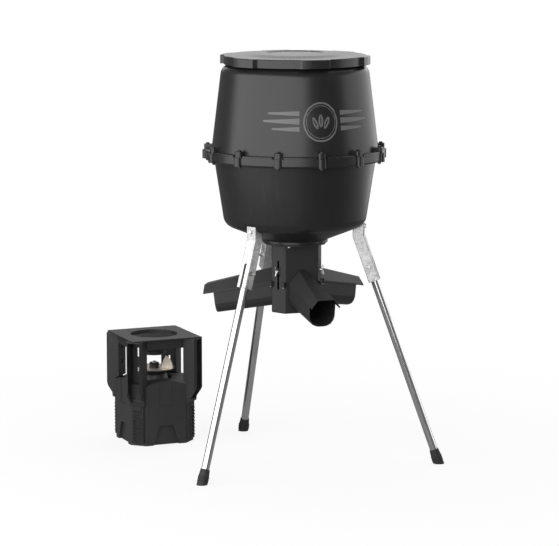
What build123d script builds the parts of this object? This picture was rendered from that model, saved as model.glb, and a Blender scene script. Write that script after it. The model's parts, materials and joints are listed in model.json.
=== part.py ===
"""A spin cast game feeder in two standing pieces: a tripod hopper with a three-way gravity head, and the
battery-driven spin cast unit that bolts to the same outlet. Millimetres, +Z up, ground at z = 0."""

import math
import os

from build123d import *

# ---------------------------------------------------------------- driving sizes
WALL = 4.0  # hopper and lid mouldings
THIN = 3.0  # gravity head and caster mouldings
RUN = 0.05  # radial clearance of a shaft that turns
GAP = 0.3  # clearance between parts that slide past each other

FEEDER_AXIS = (11.87, -164.26)  # the hopper's axis in plan, which centres the whole footprint on the origin
CASTER_AXIS = (-315.13, 337.74)  # the spin cast unit's axis in plan
FEEDER_TURN = 10.9  # the tripod stands turned this far from the unit's square sides

SPLIT_Z = 1070.0  # joint between the two hopper halves
LOWER_R, LOWER_CORNER_R, LOWER_CORNER_Z = 278.5, 240.0, 820.0
UPPER_R, SHOULDER_R, SHOULDER_Z = 283.5, 248.0, 1362.0
SHOULDER_ROUND = 36.0
NECK_R, NECK_Z = 214.0, 1380.0
OUTLET_Z, OUTLET_RING_R, CONE_END_Z = 757.0, 112.0, 769.0
COLLAR_R, COLLAR_Z = 54.5, 690.0
FLANGE_R, LUG_R, LUG_COUNT, LUG_PHASE = 305.0, 315.0, 13, -107.4
FLANGE_TALL, UPPER_FLANGE_TALL, UPPER_LUG_TALL = 30.0, 6.0, 19.0
LUG_BOLT_R, LUG_HALF, NOTCH_W = 297.0, 13.0, 7.0

LID_R, LID_LOBE_R, LID_BOTTOM_Z, LID_TOP_Z = 241.0, 254.0, 1362.5, 1392.0
LID_LOBES, LID_PHASE, LOBE_HALF, LOBE_EDGE = 6, -108.4, 10.5, 2.5
DOME_R, DOME_RISE, DISH_R = 150.0, 10.0, 95.0

LEG_NAMES = {"right": -42.4, "rear": 77.6, "left": -162.4}
LEG_TILT, LEG_R, LEG_WALL = 19.6, 13.5, 1.6
BRACKET_W, BRACKET_WALL, BRACKET_R = 38.0, 2.5, 219.0
BRACKET_TOP_Z, BRACKET_BEND_Z, BRACKET_LONG = 832.0, 783.0, 164.0
BRACKET_BOLT_Z = 816.0
LEG_TOP, LEG_BOLT = 62.0, 112.0  # down the sloping part from the bend

CHUTE_ANGLES = [-105.0, 15.0, 135.0]
HEX_R, WIDE_HALF = 92.0, 41.0  # hub corner radius, and half the angle of the wide facets
SEAM_Z, HEAD_BOTTOM_Z = 620.0, 520.0
CHUTE_HALF, CHUTE_START, CHUTE_HUB, CHUTE_END = 50.0, 50.0, 66.0, 310.0
NARROW_R = HEX_R * math.cos(math.radians(60 - WIDE_HALF))  # from the axis to a narrow facet
LIP_DROP, LIP_REACH = 5.0, 21.0  # the hood's lip below its eave, and its reach beyond the trough
SLOT_LOW, SLOT_HIGH, SLOT_R, FLOW_BOLT_Z = 600.0, 700.0, 4.2, 663.0
EAR_R, EAR_TALL, EAR_TURN = 96.5, 9.0, 17.0  # the seam's screw ears, beside the hub's corners
SLEEVE_R = 58.0
INTERFACE_R, INTERFACE_HOLE_R = 98.0, 3.3  # the four-bolt circle that head and caster share

CASTER_HALF, CASTER_TOP = 130.5, 380.0
THROAT_R, SPOUT_R, SPOUT_Z, SKIRT_HALF = 84.0, 38.0, 308.0, 112.0
POST_WEB, POST_OUT, POST_W = 126.0, 176.0, 60.0
CAGE_SCREW_Y, CAGE_SCREW_Z = 12.0, 172.0
BASE_HALF, BASE_CORNER, BASE_FLOOR = 118.0, 137.0, 4.0
VAULT_R, VAULT_Z = 225.0, 1.0
WELL_R, WELL_Z = 62.0, 206.0
PAD_LOW, PAD_HIGH, PAD_OUT = 12.0, 145.0, 149.0
DISC_R, DISC_Z = 72.0, 255.0
DOOR_X, DOOR_LOW, DOOR_HIGH = 52.0, 26.0, 132.0
PANEL_Y = 104.0  # face of the control case
BUTTON_X, BUTTON_Z, BUTTON_R = (-28.0, -8.0, 12.0), 62.0, 5.5
ROCKER_X, ROCKER_Z = 27.0, 96.0
LATCH_X, LATCH_Z = 44.0, 79.0
SPINNER_TURN = -34.0


# ---------------------------------------------------------------- small helpers
def ring_point(radius, angle):
    """A point in plan at a radius and an angle from +X."""
    turn = math.radians(angle)
    return radius * math.cos(turn), radius * math.sin(turn)


def outline(*corners):
    """A flat face on XY from (x, y) or (x, y, fillet radius) corners, in order."""
    edges, ends = [], []
    count = len(corners)
    for i, corner in enumerate(corners):
        here = Vector(corner[0], corner[1])
        radius = corner[2] if len(corner) > 2 else 0
        if not radius:
            ends.append((here, here))
            continue
        before = (Vector(*corners[i - 1][:2]) - here).normalized()
        after = (Vector(*corners[(i + 1) % count][:2]) - here).normalized()
        half = math.radians(before.get_angle(after)) / 2
        start = here + before * (radius / math.tan(half))
        end = here + after * (radius / math.tan(half))
        middle = here + (before + after).normalized() * (radius / math.sin(half) - radius)
        edges.append(ThreePointArc(start, middle, end))
        ends.append((start, end))
    for i in range(count):
        start, end = ends[i][1], ends[(i + 1) % count][0]
        if (end - start).length > 1e-6:
            edges.append(Line(start, end))
    return make_face(Wire(edges) if len(edges) > 1 else edges[0])


def turned(*corners):
    """A solid of revolution about Z from (radius, z) or (radius, z, fillet) corners."""
    return revolve(Plane.XZ * outline(*corners), Axis.Z)


def tube(outer, inner, low, high):
    """A round tube on Z."""
    return turned((inner, low), (outer, low), (outer, high), (inner, high))


def rod(radius, low, high):
    """A round bar on Z between two heights."""
    return Pos(0, 0, (low + high) / 2) * Cylinder(radius, high - low)


def block(x0, x1, y0, y1, z0, z1):
    """A box between two corners."""
    return Pos((x0 + x1) / 2, (y0 + y1) / 2, (z0 + z1) / 2) * Box(x1 - x0, y1 - y0, z1 - z0)


def prism(face, low, high):
    """A flat face on XY pulled up between two heights."""
    return Pos(0, 0, low) * extrude(face, high - low)


def side_prism(half_width, *corners):
    """An outline in the (radius, z) plane at angle 0, pulled out by half_width to each side."""
    return extrude(Plane.XZ * outline(*corners), half_width, both=True)


def around(angles, solid):
    """One copy of a solid at each angle about Z."""
    return [Rot(0, 0, angle) * solid for angle in angles]


def hexagon_bar(across_flats, low, high):
    """A hexagonal bar on Z."""
    return prism(RegularPolygon(across_flats / 2, 6, major_radius=False), low, high)


def hex_bolt(radius, length, flats, head):
    """A hex bolt with its head above z = 0 and its shank below."""
    rounded = turned((0, 0), (flats, 0), (flats * 0.53, head * 0.7), (flats * 0.46, head), (0, head))
    return (hexagon_bar(flats, 0, head) & rounded) + rod(radius, -length, 0)


def joined(first, *others):
    """All the solids fused into one."""
    for other in others:
        first = first + other
    return first


# ---------------------------------------------------------------- hopper
def bracket_pocket(clear, inner_r, roof):
    """The space that one leg bracket stands in, at angle 0."""
    half = BRACKET_W / 2 + clear
    return block(inner_r, LOWER_R + 40, -half, half, OUTLET_Z - 60, roof)


def lugs(low, high, radius):
    """The ears round the hopper's joint, each with its bolt hole."""
    ear = block(250, radius, -LUG_HALF, LUG_HALF, low, high)
    ear = fillet(ear.edges().filter_by(Axis.Z).group_by(Axis.X)[-1], 9)
    return around([LUG_PHASE + i * 360 / LUG_COUNT for i in range(LUG_COUNT)], ear)


def lug_holes():
    hole = Pos(LUG_BOLT_R, 0, SPLIT_Z) * Cylinder(3.4, 120)
    return around([LUG_PHASE + i * 360 / LUG_COUNT for i in range(LUG_COUNT)], hole)


def ledge_notches():
    """The gaps in the upper ledge, one each side of every lug."""
    top = SPLIT_Z + UPPER_LUG_TALL - 4
    notch = block(UPPER_R + 4, LUG_R + 10, LUG_HALF, LUG_HALF + NOTCH_W, SPLIT_Z - 1, top)
    pair = notch + mirror(notch, Plane.XZ)
    return around([LUG_PHASE + i * 360 / LUG_COUNT for i in range(LUG_COUNT)], pair)


def interface_holes(z, radius):
    """The four-bolt circle that the hopper's outlet, the head and the caster share."""
    return around([45, 135, 225, 315], Pos(INTERFACE_R, 0, z) * Cylinder(radius, 24))


def make_hopper_lower():
    """The bottom half: conical floor, outlet ring and collar, bracket pockets and the lower joint flange."""
    low_z = SPLIT_Z - FLANGE_TALL
    outer = turned(
        (0, OUTLET_Z),
        (OUTLET_RING_R, OUTLET_Z, 3),
        (OUTLET_RING_R, CONE_END_Z, 3),
        (LOWER_CORNER_R, LOWER_CORNER_Z, 40),
        (LOWER_R, SPLIT_Z),
        (0, SPLIT_Z),
    )
    inner = turned(
        (0, OUTLET_Z + WALL),
        (OUTLET_RING_R - WALL, OUTLET_Z + WALL),
        (OUTLET_RING_R - WALL, CONE_END_Z + 2.5),
        (LOWER_CORNER_R - WALL, LOWER_CORNER_Z + 2.5, 36),
        (LOWER_R - WALL, SPLIT_Z + 1),
        (0, SPLIT_Z + 1),
    )
    root = LOWER_R - 14
    flange = turned((root, low_z), (FLANGE_R, low_z, 7), (FLANGE_R, SPLIT_Z), (root, SPLIT_Z))
    outer = joined(outer, flange, *lugs(low_z, SPLIT_Z, LUG_R))
    outer -= around(LEG_NAMES.values(), bracket_pocket(1, 200, 834))
    inner -= around(LEG_NAMES.values(), bracket_pocket(1 + WALL, 200 - WALL, 834 + WALL))
    shell = outer - inner
    shell += tube(COLLAR_R, COLLAR_R - WALL, COLLAR_Z, OUTLET_Z + 1)
    shell -= rod(COLLAR_R - WALL, OUTLET_Z - 1, OUTLET_Z + WALL + 1)
    shell -= lug_holes()
    shell -= interface_holes(OUTLET_Z, INTERFACE_HOLE_R)
    bolt_hole = Pos(200, 0, BRACKET_BOLT_Z) * Rot(0, 90, 0) * Cylinder(4.3, 60)
    return shell - around(LEG_NAMES.values(), bolt_hole)


def make_hopper_upper():
    """The top half: tapered drum, rounded shoulder, filling neck and the upper joint flange."""
    outer = turned(
        (0, SPLIT_Z),
        (UPPER_R, SPLIT_Z),
        (SHOULDER_R, SHOULDER_Z, SHOULDER_ROUND),
        (NECK_R, SHOULDER_Z),
        (NECK_R, NECK_Z),
        (0, NECK_Z),
    )
    inner = turned(
        (0, SPLIT_Z - 1),
        (UPPER_R - WALL, SPLIT_Z - 1),
        (SHOULDER_R - WALL, SHOULDER_Z - WALL, SHOULDER_ROUND - WALL),
        (NECK_R - WALL, SHOULDER_Z - WALL),
        (NECK_R - WALL, NECK_Z + 1),
        (0, NECK_Z + 1),
    )
    ledge_z = SPLIT_Z + UPPER_FLANGE_TALL
    root = UPPER_R - 14
    flange = turned((root, SPLIT_Z), (FLANGE_R, SPLIT_Z), (FLANGE_R, ledge_z, 2), (root, ledge_z))
    outer = joined(outer, flange, *lugs(SPLIT_Z, SPLIT_Z + UPPER_LUG_TALL, LUG_R - 6))
    return outer - inner - lug_holes() - ledge_notches()


def make_flange_fasteners():
    """Bolts down through the joint's ears, and the nuts under them."""
    angles = [LUG_PHASE + i * 360 / LUG_COUNT for i in range(LUG_COUNT)]
    bolt = Pos(LUG_BOLT_R, 0, SPLIT_Z + UPPER_LUG_TALL) * hex_bolt(3, 57, 11, 5)
    nut_top = SPLIT_Z - FLANGE_TALL
    nut = Pos(LUG_BOLT_R, 0, 0) * (hexagon_bar(11, nut_top - 6, nut_top) - rod(3, nut_top - 7, nut_top + 1))
    return around(angles, bolt), around(angles, nut)


def lid_outline(shrink):
    """The lid's rim in plan: wide lobes with sloping steps down to the finger recesses between them."""
    edges, pitch = [], 360 / LID_LOBES
    for i in range(LID_LOBES):
        middle = LID_PHASE + i * pitch
        lobe = [ring_point(LID_LOBE_R - shrink, middle + turn) for turn in (-LOBE_HALF, 0, LOBE_HALF)]
        dip_from, dip_to = LOBE_HALF + LOBE_EDGE, pitch - LOBE_HALF - LOBE_EDGE
        dip = [ring_point(LID_R - shrink, middle + turn) for turn in (dip_from, pitch / 2, dip_to)]
        next_lobe = ring_point(LID_LOBE_R - shrink, middle + pitch - LOBE_HALF)
        edges += [ThreePointArc(*lobe), Line(lobe[2], dip[0]), ThreePointArc(*dip), Line(dip[2], next_lobe)]
    return make_face(Wire(edges))


def make_lid():
    """The drop-on lid: lobed rim, flat brim, raised centre with a dished ring, and a locating ring."""
    rim = prism(lid_outline(0), LID_BOTTOM_Z, LID_TOP_Z)
    rim = fillet(rim.edges().group_by(Axis.Z)[-1], 3.5)
    dome_z = LID_TOP_Z + DOME_RISE
    dome = turned(
        (0, LID_TOP_Z - WALL),
        (DOME_R + 22, LID_TOP_Z - WALL),
        (DOME_R + 22, LID_TOP_Z),
        (DOME_R - 6, LID_TOP_Z + 6, 30),
        (DISH_R + 6, dome_z - 1.5, 3),
        (DISH_R, dome_z - 5, 3),
        (0, dome_z - 2),
    )
    hollow = prism(lid_outline(WALL), LID_BOTTOM_Z - 1, LID_TOP_Z - WALL)
    under_dome = turned(
        (0, LID_TOP_Z - WALL - 1),
        (DOME_R + 6, LID_TOP_Z - WALL - 1),
        (DOME_R - 8, LID_TOP_Z + 1.5),
        (DISH_R + 12, dome_z - 1.5 - WALL),
        (DISH_R - 2, dome_z - 5 - WALL),
        (0, dome_z - 2 - WALL),
    )
    locating = tube(NECK_R + 5, NECK_R + 1.5, LID_BOTTOM_Z + 6, LID_TOP_Z - WALL + 1)
    return rim + dome - hollow - under_dome + locating


def make_lid_seal():
    """A flat foam ring between the neck and the lid."""
    return tube(NECK_R, NECK_R - 10, NECK_Z, LID_TOP_Z - WALL)


# ---------------------------------------------------------------- legs
def leg_frame():
    """A location at the bracket's bend with -Z down the sloping leg, at angle 0."""
    return Pos(BRACKET_R, 0, BRACKET_BEND_Z) * Rot(0, -LEG_TILT, 0)


def bent_strip(half, grow_ends):
    """The bracket's side outline, mitred at its bend, in the (radius, z) plane."""
    tilt = math.radians(LEG_TILT)
    along = (math.sin(tilt), -math.cos(tilt))
    across = (math.cos(tilt), math.sin(tilt))
    mitre = half * math.tan(tilt / 2)
    foot = BRACKET_LONG + grow_ends
    outer = (BRACKET_R + half, BRACKET_BEND_Z + mitre)
    inner = (BRACKET_R - half, BRACKET_BEND_Z - mitre)
    low = (BRACKET_R + along[0] * foot, BRACKET_BEND_Z + along[1] * foot)
    return [
        (BRACKET_R - half, BRACKET_TOP_Z + grow_ends),
        (BRACKET_R + half, BRACKET_TOP_Z + grow_ends),
        outer,
        (low[0] + across[0] * half, low[1] + across[1] * half),
        (low[0] - across[0] * half, low[1] - across[1] * half),
        inner,
    ]


def make_leg_bracket():
    """A folded square socket with its bend under the hopper and an open seam down its outer face."""
    half = BRACKET_W / 2
    bore = half - BRACKET_WALL
    body = side_prism(half, *bent_strip(half, 0))
    body = fillet(body.edges().filter_by(lambda e: e.length > 40 and abs(abs(e.center().Y) - half) < 0.1), 3)
    body -= side_prism(bore, *bent_strip(bore, 5))
    seam = Pos(half, 0, -BRACKET_LONG + 30) * Box(10, 13, 90)
    seam += Pos(half, 0, -BRACKET_LONG + 75) * Rot(0, 90, 0) * Cylinder(6.5, 10)
    cross_hole = Pos(0, 0, -LEG_BOLT) * Rot(90, 0, 0) * Cylinder(4.2, 60)
    body -= leg_frame() * (seam + cross_hole)
    return body - Pos(BRACKET_R, 0, BRACKET_BOLT_Z) * Rot(0, 90, 0) * Cylinder(4.2, 80)


def leg_length():
    """From the bend down the slope to the ground."""
    return BRACKET_BEND_Z / math.cos(math.radians(LEG_TILT))


def make_leg():
    """A round steel tube from inside the socket to just above the ground."""
    end = -leg_length() + 14
    leg = tube(LEG_R, LEG_R - LEG_WALL, end, -LEG_TOP)
    leg -= Pos(0, 0, -LEG_BOLT) * Rot(90, 0, 0) * Cylinder(4.2, 60)
    return leg_frame() * leg


def make_foot():
    """A moulded cap over the tube's end, cut level so that it stands flat."""
    length = leg_length()
    low, top = -length - 20, -length + 52
    cap = turned((0, low), (18, low), (18, -length + 26, 2), (15.5, top, 1), (0, top))
    cap -= rod(LEG_R, -length + 14, -length + 60)
    return leg_frame() * cap & block(0, 900, -100, 100, 0, 200)


def make_leg_bolts():
    """A cross bolt with its nut through each socket and tube."""
    half = BRACKET_W / 2
    bolt = Pos(0, -half, -LEG_BOLT) * Rot(90, 0, 0) * hex_bolt(4, 50, 13, 5.5)
    nut = hexagon_bar(13, 0, 6.5) - rod(4, -1, 8)
    nut = Pos(0, half, -LEG_BOLT) * Rot(-90, 0, 0) * nut
    return [turn for solid in (bolt, nut) for turn in around(LEG_NAMES.values(), leg_frame() * solid)]


def make_bracket_bolts():
    """A bolt in from each socket's outer face through the pocket wall, with its nut inside the hopper."""
    face = BRACKET_R + BRACKET_W / 2
    bolt = Pos(face, 0, BRACKET_BOLT_Z) * Rot(0, 90, 0) * hex_bolt(4, 56, 13, 5.5)
    nut = hexagon_bar(13, 0, 6.5) - rod(4, -1, 8)
    nut = Pos(200 - WALL, 0, BRACKET_BOLT_Z) * Rot(0, -90, 0) * nut
    return [turn for solid in (bolt, nut) for turn in around(LEG_NAMES.values(), solid)]


# ---------------------------------------------------------------- gravity head
def hub_outline(inset, corner):
    """The hub's six sides in plan: three wide ones behind the chutes and three narrow ones between."""
    points = [ring_point(HEX_R, angle + turn) for angle in CHUTE_ANGLES for turn in (-WIDE_HALF, WIDE_HALF)]
    face = make_face(Polyline(*points, close=True))
    if inset:
        face = offset(face, -inset, kind=Kind.INTERSECTION)
    return fillet(face.vertices(), corner)


def chute_line(hub_z, end_z, u):
    """The height at distance u along a straight edge that falls from the hub to the chute's mouth."""
    share = (u - CHUTE_HUB) / (CHUTE_END - CHUTE_HUB)
    return hub_z + (end_z - hub_z) * share


def eave(u):
    return chute_line(622.0, 578.0, u)


def ridge(u):
    return chute_line(670.0, 603.0, u)


def floor_line(u):
    return chute_line(538.0, 499.0, u)


def section(u, points):
    """A closed section across a chute at distance u, from (side, z) points of its right half, top first."""
    whole = [Vector(u, y, z) for y, z in points] + [Vector(u, -y, z) for y, z in reversed(points)]
    return make_face(Polyline(*whole, close=True))


def roof_half(u, inset):
    """Half the hood's section: flat ridge, bevel, eave and lip, set in by a wall's thickness."""
    bevel = 1.2
    top = CHUTE_HALF - (ridge(u) - eave(u)) / bevel
    lean = math.hypot(bevel, 1)
    flat = top - inset * (lean - bevel) if inset else top
    low = eave(u) - (80 if inset else LIP_DROP)
    side = CHUTE_HALF - inset
    return [(flat, ridge(u) - inset), (side, eave(u) - inset * (lean - bevel)), (side, low)]


def roof(inset, start, end):
    return loft([section(start, roof_half(start, inset)), section(end, roof_half(end, inset))], ruled=True)


def channel_half(u, inset, top):
    """Half the trough's section: nearly upright sides that round over into a flat floor."""
    side = CHUTE_HALF - THIN - 0.5 - inset
    low = floor_line(u) + inset
    turn = [(side - 1, low + 34), (side - 5, low + 20), (side - 14, low + 8), (side - 28, low + 1.5)]
    return [(side, top), *turn, (8, low)]


def channel(inset, start, end, rise):
    tops = [eave(u) - 2 + rise for u in (start, end)]
    ends = zip((start, end), tops)
    return loft([section(u, channel_half(u, inset, top)) for u, top in ends], ruled=True)


def flow_slots():
    """The upright slots in the narrow facets that the flow bolts slide in."""
    low, high = SLOT_LOW + SLOT_R, SLOT_HIGH - SLOT_R
    slot = block(NARROW_R - 14, NARROW_R + 14, -SLOT_R, SLOT_R, low, high)
    for z in (low, high):
        slot += Pos(NARROW_R, 0, z) * Rot(0, 90, 0) * Cylinder(SLOT_R, 28)
    return around([angle + 60 for angle in CHUTE_ANGLES], slot)


def seam_screw_places():
    """The turns of the screws that join the two mouldings, in an ear each side of every narrow facet."""
    return [angle + 60 + side * EAR_TURN for angle in CHUTE_ANGLES for side in (-1, 1)]


def ears(low, high):
    ear = prism(outline((76, -8), (EAR_R + 6, -6, 5), (EAR_R + 6, 6, 5), (76, 8)), low, high)
    ear -= Pos(EAR_R, 0, SEAM_Z) * Cylinder(2.7, 60)
    return around(seam_screw_places(), ear)


def make_head_tube():
    """The head's upper moulding: mounting flange and six-sided tube, open towards each chute's hood."""
    hub = prism(hub_outline(0, 9), SEAM_Z, OUTLET_Z - 5)
    bore = prism(hub_outline(THIN, 7), SEAM_Z - 200, OUTLET_Z - 5)
    shell = joined(hub, *[ear - bore for ear in ears(SEAM_Z, SEAM_Z + EAR_TALL)])
    flange = turned((60, OUTLET_Z - 5), (106, OUTLET_Z - 5, 2), (106, OUTLET_Z), (60, OUTLET_Z))
    shell = shell + flange - bore
    for cut in around(CHUTE_ANGLES, roof(THIN, CHUTE_START - 40, CHUTE_END + 6)):
        shell -= cut
    return shell - flow_slots() - interface_holes(OUTLET_Z, INTERFACE_HOLE_R)


def make_chute_hood(angle):
    """One chute's roof, which butts against the hub."""
    hub = prism(hub_outline(0, 9), SEAM_Z - 200, OUTLET_Z)
    shell = roof(0, CHUTE_START, CHUTE_END) - roof(THIN, CHUTE_START - 40, CHUTE_END + 6)
    return Rot(0, 0, angle) * shell - hub


def make_head_bowl():
    """The head's lower moulding: the closed bottom of the hub, open towards each chute's trough."""
    hub = prism(hub_outline(0, 9), HEAD_BOTTOM_Z, SEAM_Z)
    hub = fillet(hub.edges().group_by(Axis.Z)[0], 4)
    bore = prism(hub_outline(THIN, 7), HEAD_BOTTOM_Z + THIN, SEAM_Z + 1)
    shell = joined(hub, *ears(SEAM_Z - EAR_TALL, SEAM_Z)) - bore
    for angle in CHUTE_ANGLES:
        shell -= Rot(0, 0, angle) * channel(THIN, CHUTE_START - 30, CHUTE_END - 8, 60)
    return shell - flow_slots()


def make_chute_trough(angle):
    """One chute's feed trough, which butts against the hub, with its mouth cut back at a slope."""
    mouth_u = CHUTE_END - LIP_REACH
    toe = (mouth_u - 23, floor_line(mouth_u - 20))
    mouth = side_prism(80, (mouth_u - 7, 640), (400, 640), (400, 440), (toe[0] - 3, 440), toe)
    shell = channel(0, CHUTE_START, mouth_u, 0) - channel(THIN, CHUTE_START - 30, CHUTE_END - 8, 60) - mouth
    return Rot(0, 0, angle) * shell - prism(hub_outline(0, 9), HEAD_BOTTOM_Z - 40, SEAM_Z + 80)


def make_head_screws():
    """Pan-head screws up through the seam's ears."""
    screw = turned((0, -2), (4.4, -2, 1.5), (4.4, 1), (2.5, 1), (2.5, 16), (0, 16))
    screw = Pos(EAR_R, 0, SEAM_Z - EAR_TALL - 1) * screw
    return around(seam_screw_places(), screw)


def make_head_bolts():
    """Bolts and nuts that hang the head on the hopper's outlet."""
    bolt = Pos(INTERFACE_R, 0, OUTLET_Z - 5) * Rot(180, 0, 0) * hex_bolt(3, 19, 10, 4)
    top = OUTLET_Z + WALL
    nut = Pos(INTERFACE_R, 0, 0) * (hexagon_bar(10, top, top + 5) - rod(3, top - 1, top + 6))
    places = [45, 135, 225, 315]
    return around(places, bolt) + around(places, nut)


def make_diverter():
    """The cone on the head's floor that turns the feed out into the chutes."""
    low = HEAD_BOTTOM_Z + THIN
    return turned((0, low), (59, low), (59, low + 20), (4, low + 76, 4), (0, low + 76.5))


def make_flow_sleeve():
    """The sliding collar that sets the gap above the diverter, with a lug behind each slot."""
    sleeve = tube(SLEEVE_R, SLEEVE_R - 3, 618, 712)
    lug = block(SLEEVE_R - 2, NARROW_R - THIN - 0.6, -7, 7, FLOW_BOLT_Z - 10, FLOW_BOLT_Z + 10)
    sleeve = joined(sleeve, *around([angle + 60 for angle in CHUTE_ANGLES], lug))
    sleeve -= rod(SLEEVE_R - 3, 600, 720)
    bolt_hole = Pos(70, 0, FLOW_BOLT_Z) * Rot(0, 90, 0) * Cylinder(3.2, 40)
    return sleeve - around([angle + 60 for angle in CHUTE_ANGLES], bolt_hole)


def make_flow_wing_nuts():
    """Studs through the slots, each with a wing nut outside."""
    wing = outline((0, 0), (3, 0), (19, 9, 3), (15, 15, 3), (0, 9))
    wings = extrude(wing, 1.6, both=True)
    wings += mirror(wings, Plane.YZ)
    nut = Rot(90, 0, 0) * wings
    nut = nut + turned((0, 0), (7, 0), (5.5, 9, 1), (0, 9))
    stud = rod(3.2, -22, 0)
    piece = Pos(NARROW_R + 0.4, 0, FLOW_BOLT_Z) * Rot(0, 90, 0) * (nut + stud)
    return around([angle + 60 for angle in CHUTE_ANGLES], piece)


# ---------------------------------------------------------------- spin cast unit: cage
DIAGONALS = {"back_right": 45.0, "back_left": 135.0, "front_left": -135.0, "front_right": -45.0}


def octagon(half, corner):
    """A square in plan with its corners cut off at a distance from the centre."""
    side = corner * math.sqrt(2) - half
    points = [(half, -side), (half, side), (side, half), (-side, half)]
    points += [(-half, side), (-half, -side), (-side, -half), (side, -half)]
    return make_face(Polyline(*points, close=True))


def make_top_plate():
    """The square mounting plate with its feed throat and the four-bolt circle."""
    plate = prism(RectangleRounded(2 * CASTER_HALF, 2 * CASTER_HALF, 7), CASTER_TOP - 4, CASTER_TOP)
    plate = chamfer(plate.edges().group_by(Axis.Z)[-1], 0.8)
    plate -= rod(THROAT_R, CASTER_TOP - 10, CASTER_TOP + 1)
    return plate - interface_holes(CASTER_TOP, INTERFACE_HOLE_R)


def make_throat_funnel():
    """The moulding under the plate: a cross web, a skirt along each side and the feed funnel."""
    top = CASTER_TOP - 4
    half = SKIRT_HALF - THIN
    skirt = prism(octagon(SKIRT_HALF, POST_WEB - 0.5), top - 34, top)
    skirt -= block(-half, half, -half, half, top - 35, top - THIN)
    cone = turned(
        (SPOUT_R, SPOUT_Z),
        (SPOUT_R + THIN, SPOUT_Z),
        (SPOUT_R + THIN, SPOUT_Z + 12),
        (THROAT_R + THIN, top - THIN - 8),
        (THROAT_R + THIN, top),
        (THROAT_R, top),
        (THROAT_R, top - THIN - 6),
        (SPOUT_R, SPOUT_Z + 13),
    )
    moulding = skirt - rod(THROAT_R + 1, top - 60, top + 1) + cone
    return moulding - interface_holes(top, INTERFACE_HOLE_R + 2.5)


def make_post():
    """A corner post at angle 0: an outward-facing channel, tapered to the base, with two slots in its web."""
    low, top = PAD_HIGH + 1, CASTER_TOP - 4
    side = [(BASE_CORNER, low), (150, low), (152, 162), (POST_OUT, 196), (POST_OUT, top), (POST_WEB, top)]
    side += [(POST_WEB, 221), (BASE_CORNER, 217)]
    post = side_prism(POST_W / 2, *side)
    recess = [(BASE_CORNER + 5, 156), (200, 150), (200, top - 5)]
    recess += [(POST_WEB + 4, top - 5), (POST_WEB + 4, 226), (BASE_CORNER + 5, 220)]
    post -= side_prism(POST_W / 2 - 8, *recess)
    upper, lower = (318, 350), (262, 280)
    for z0, z1 in (upper, lower):
        post -= Pos(POST_WEB, 0, (z0 + z1) / 2) * Box(30, 11, z1 - z0)
    out, half = POST_OUT + 1, POST_W / 2
    bevel = prism(outline((POST_OUT - 9, half + 1), (out, half + 1), (out, half - 9)), 0, top + 1)
    post -= bevel
    post -= mirror(bevel, Plane.XZ)
    for y in (-CAGE_SCREW_Y, CAGE_SCREW_Y):
        post -= Pos(BASE_CORNER + 2, y, CAGE_SCREW_Z) * Rot(0, 90, 0) * Cylinder(2.6, 30)
    return post


def make_cage_screws():
    """Two screws through the foot of each post into the base."""
    screw = Rot(0, 90, 0) * turned((0, -14), (2.5, -14), (2.5, 0), (4.5, 0), (4.5, 1.5, 1.2), (0, 2.6))
    places = [Pos(BASE_CORNER + 5, y, CAGE_SCREW_Z) * screw for y in (-CAGE_SCREW_Y, CAGE_SCREW_Y)]
    return [solid for place in places for solid in around(DIAGONALS.values(), place)]


# ---------------------------------------------------------------- spin cast unit: base
def vaults(radius):
    """Two crossed barrel vaults over straight walls."""
    across = Pos(0, 0, VAULT_Z) * Rot(90, 0, 0) * Cylinder(radius, 400)
    along = Pos(0, 0, VAULT_Z) * Rot(0, 90, 0) * Cylinder(radius, 400)
    return across + along + block(-150, 150, -150, 150, -20, VAULT_Z)


def wedge_recess(grow):
    """The tapered toe recess at the bottom of a side, on the -Y side."""
    low, high, depth = BASE_FLOOR - 4, 68, 9
    face = outline((-48 - grow, low), (48 + grow, low), (25 + grow, high + grow), (-25 - grow, high + grow))
    return extrude(Plane((0, -BASE_HALF + depth + grow, 0), x_dir=(1, 0, 0), z_dir=(0, -1, 0)) * face, 60)


def strip_recess(grow):
    """The shallow upright band over the top of a side, on the -Y side."""
    depth = 2.6
    return block(-26 - grow, 26 + grow, -BASE_HALF - 5, -BASE_HALF + depth + grow, 138 - grow, 260)


PLAIN_SIDES = [0.0, 90.0, -90.0]  # front, right and left: turns of the -Y side


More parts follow.
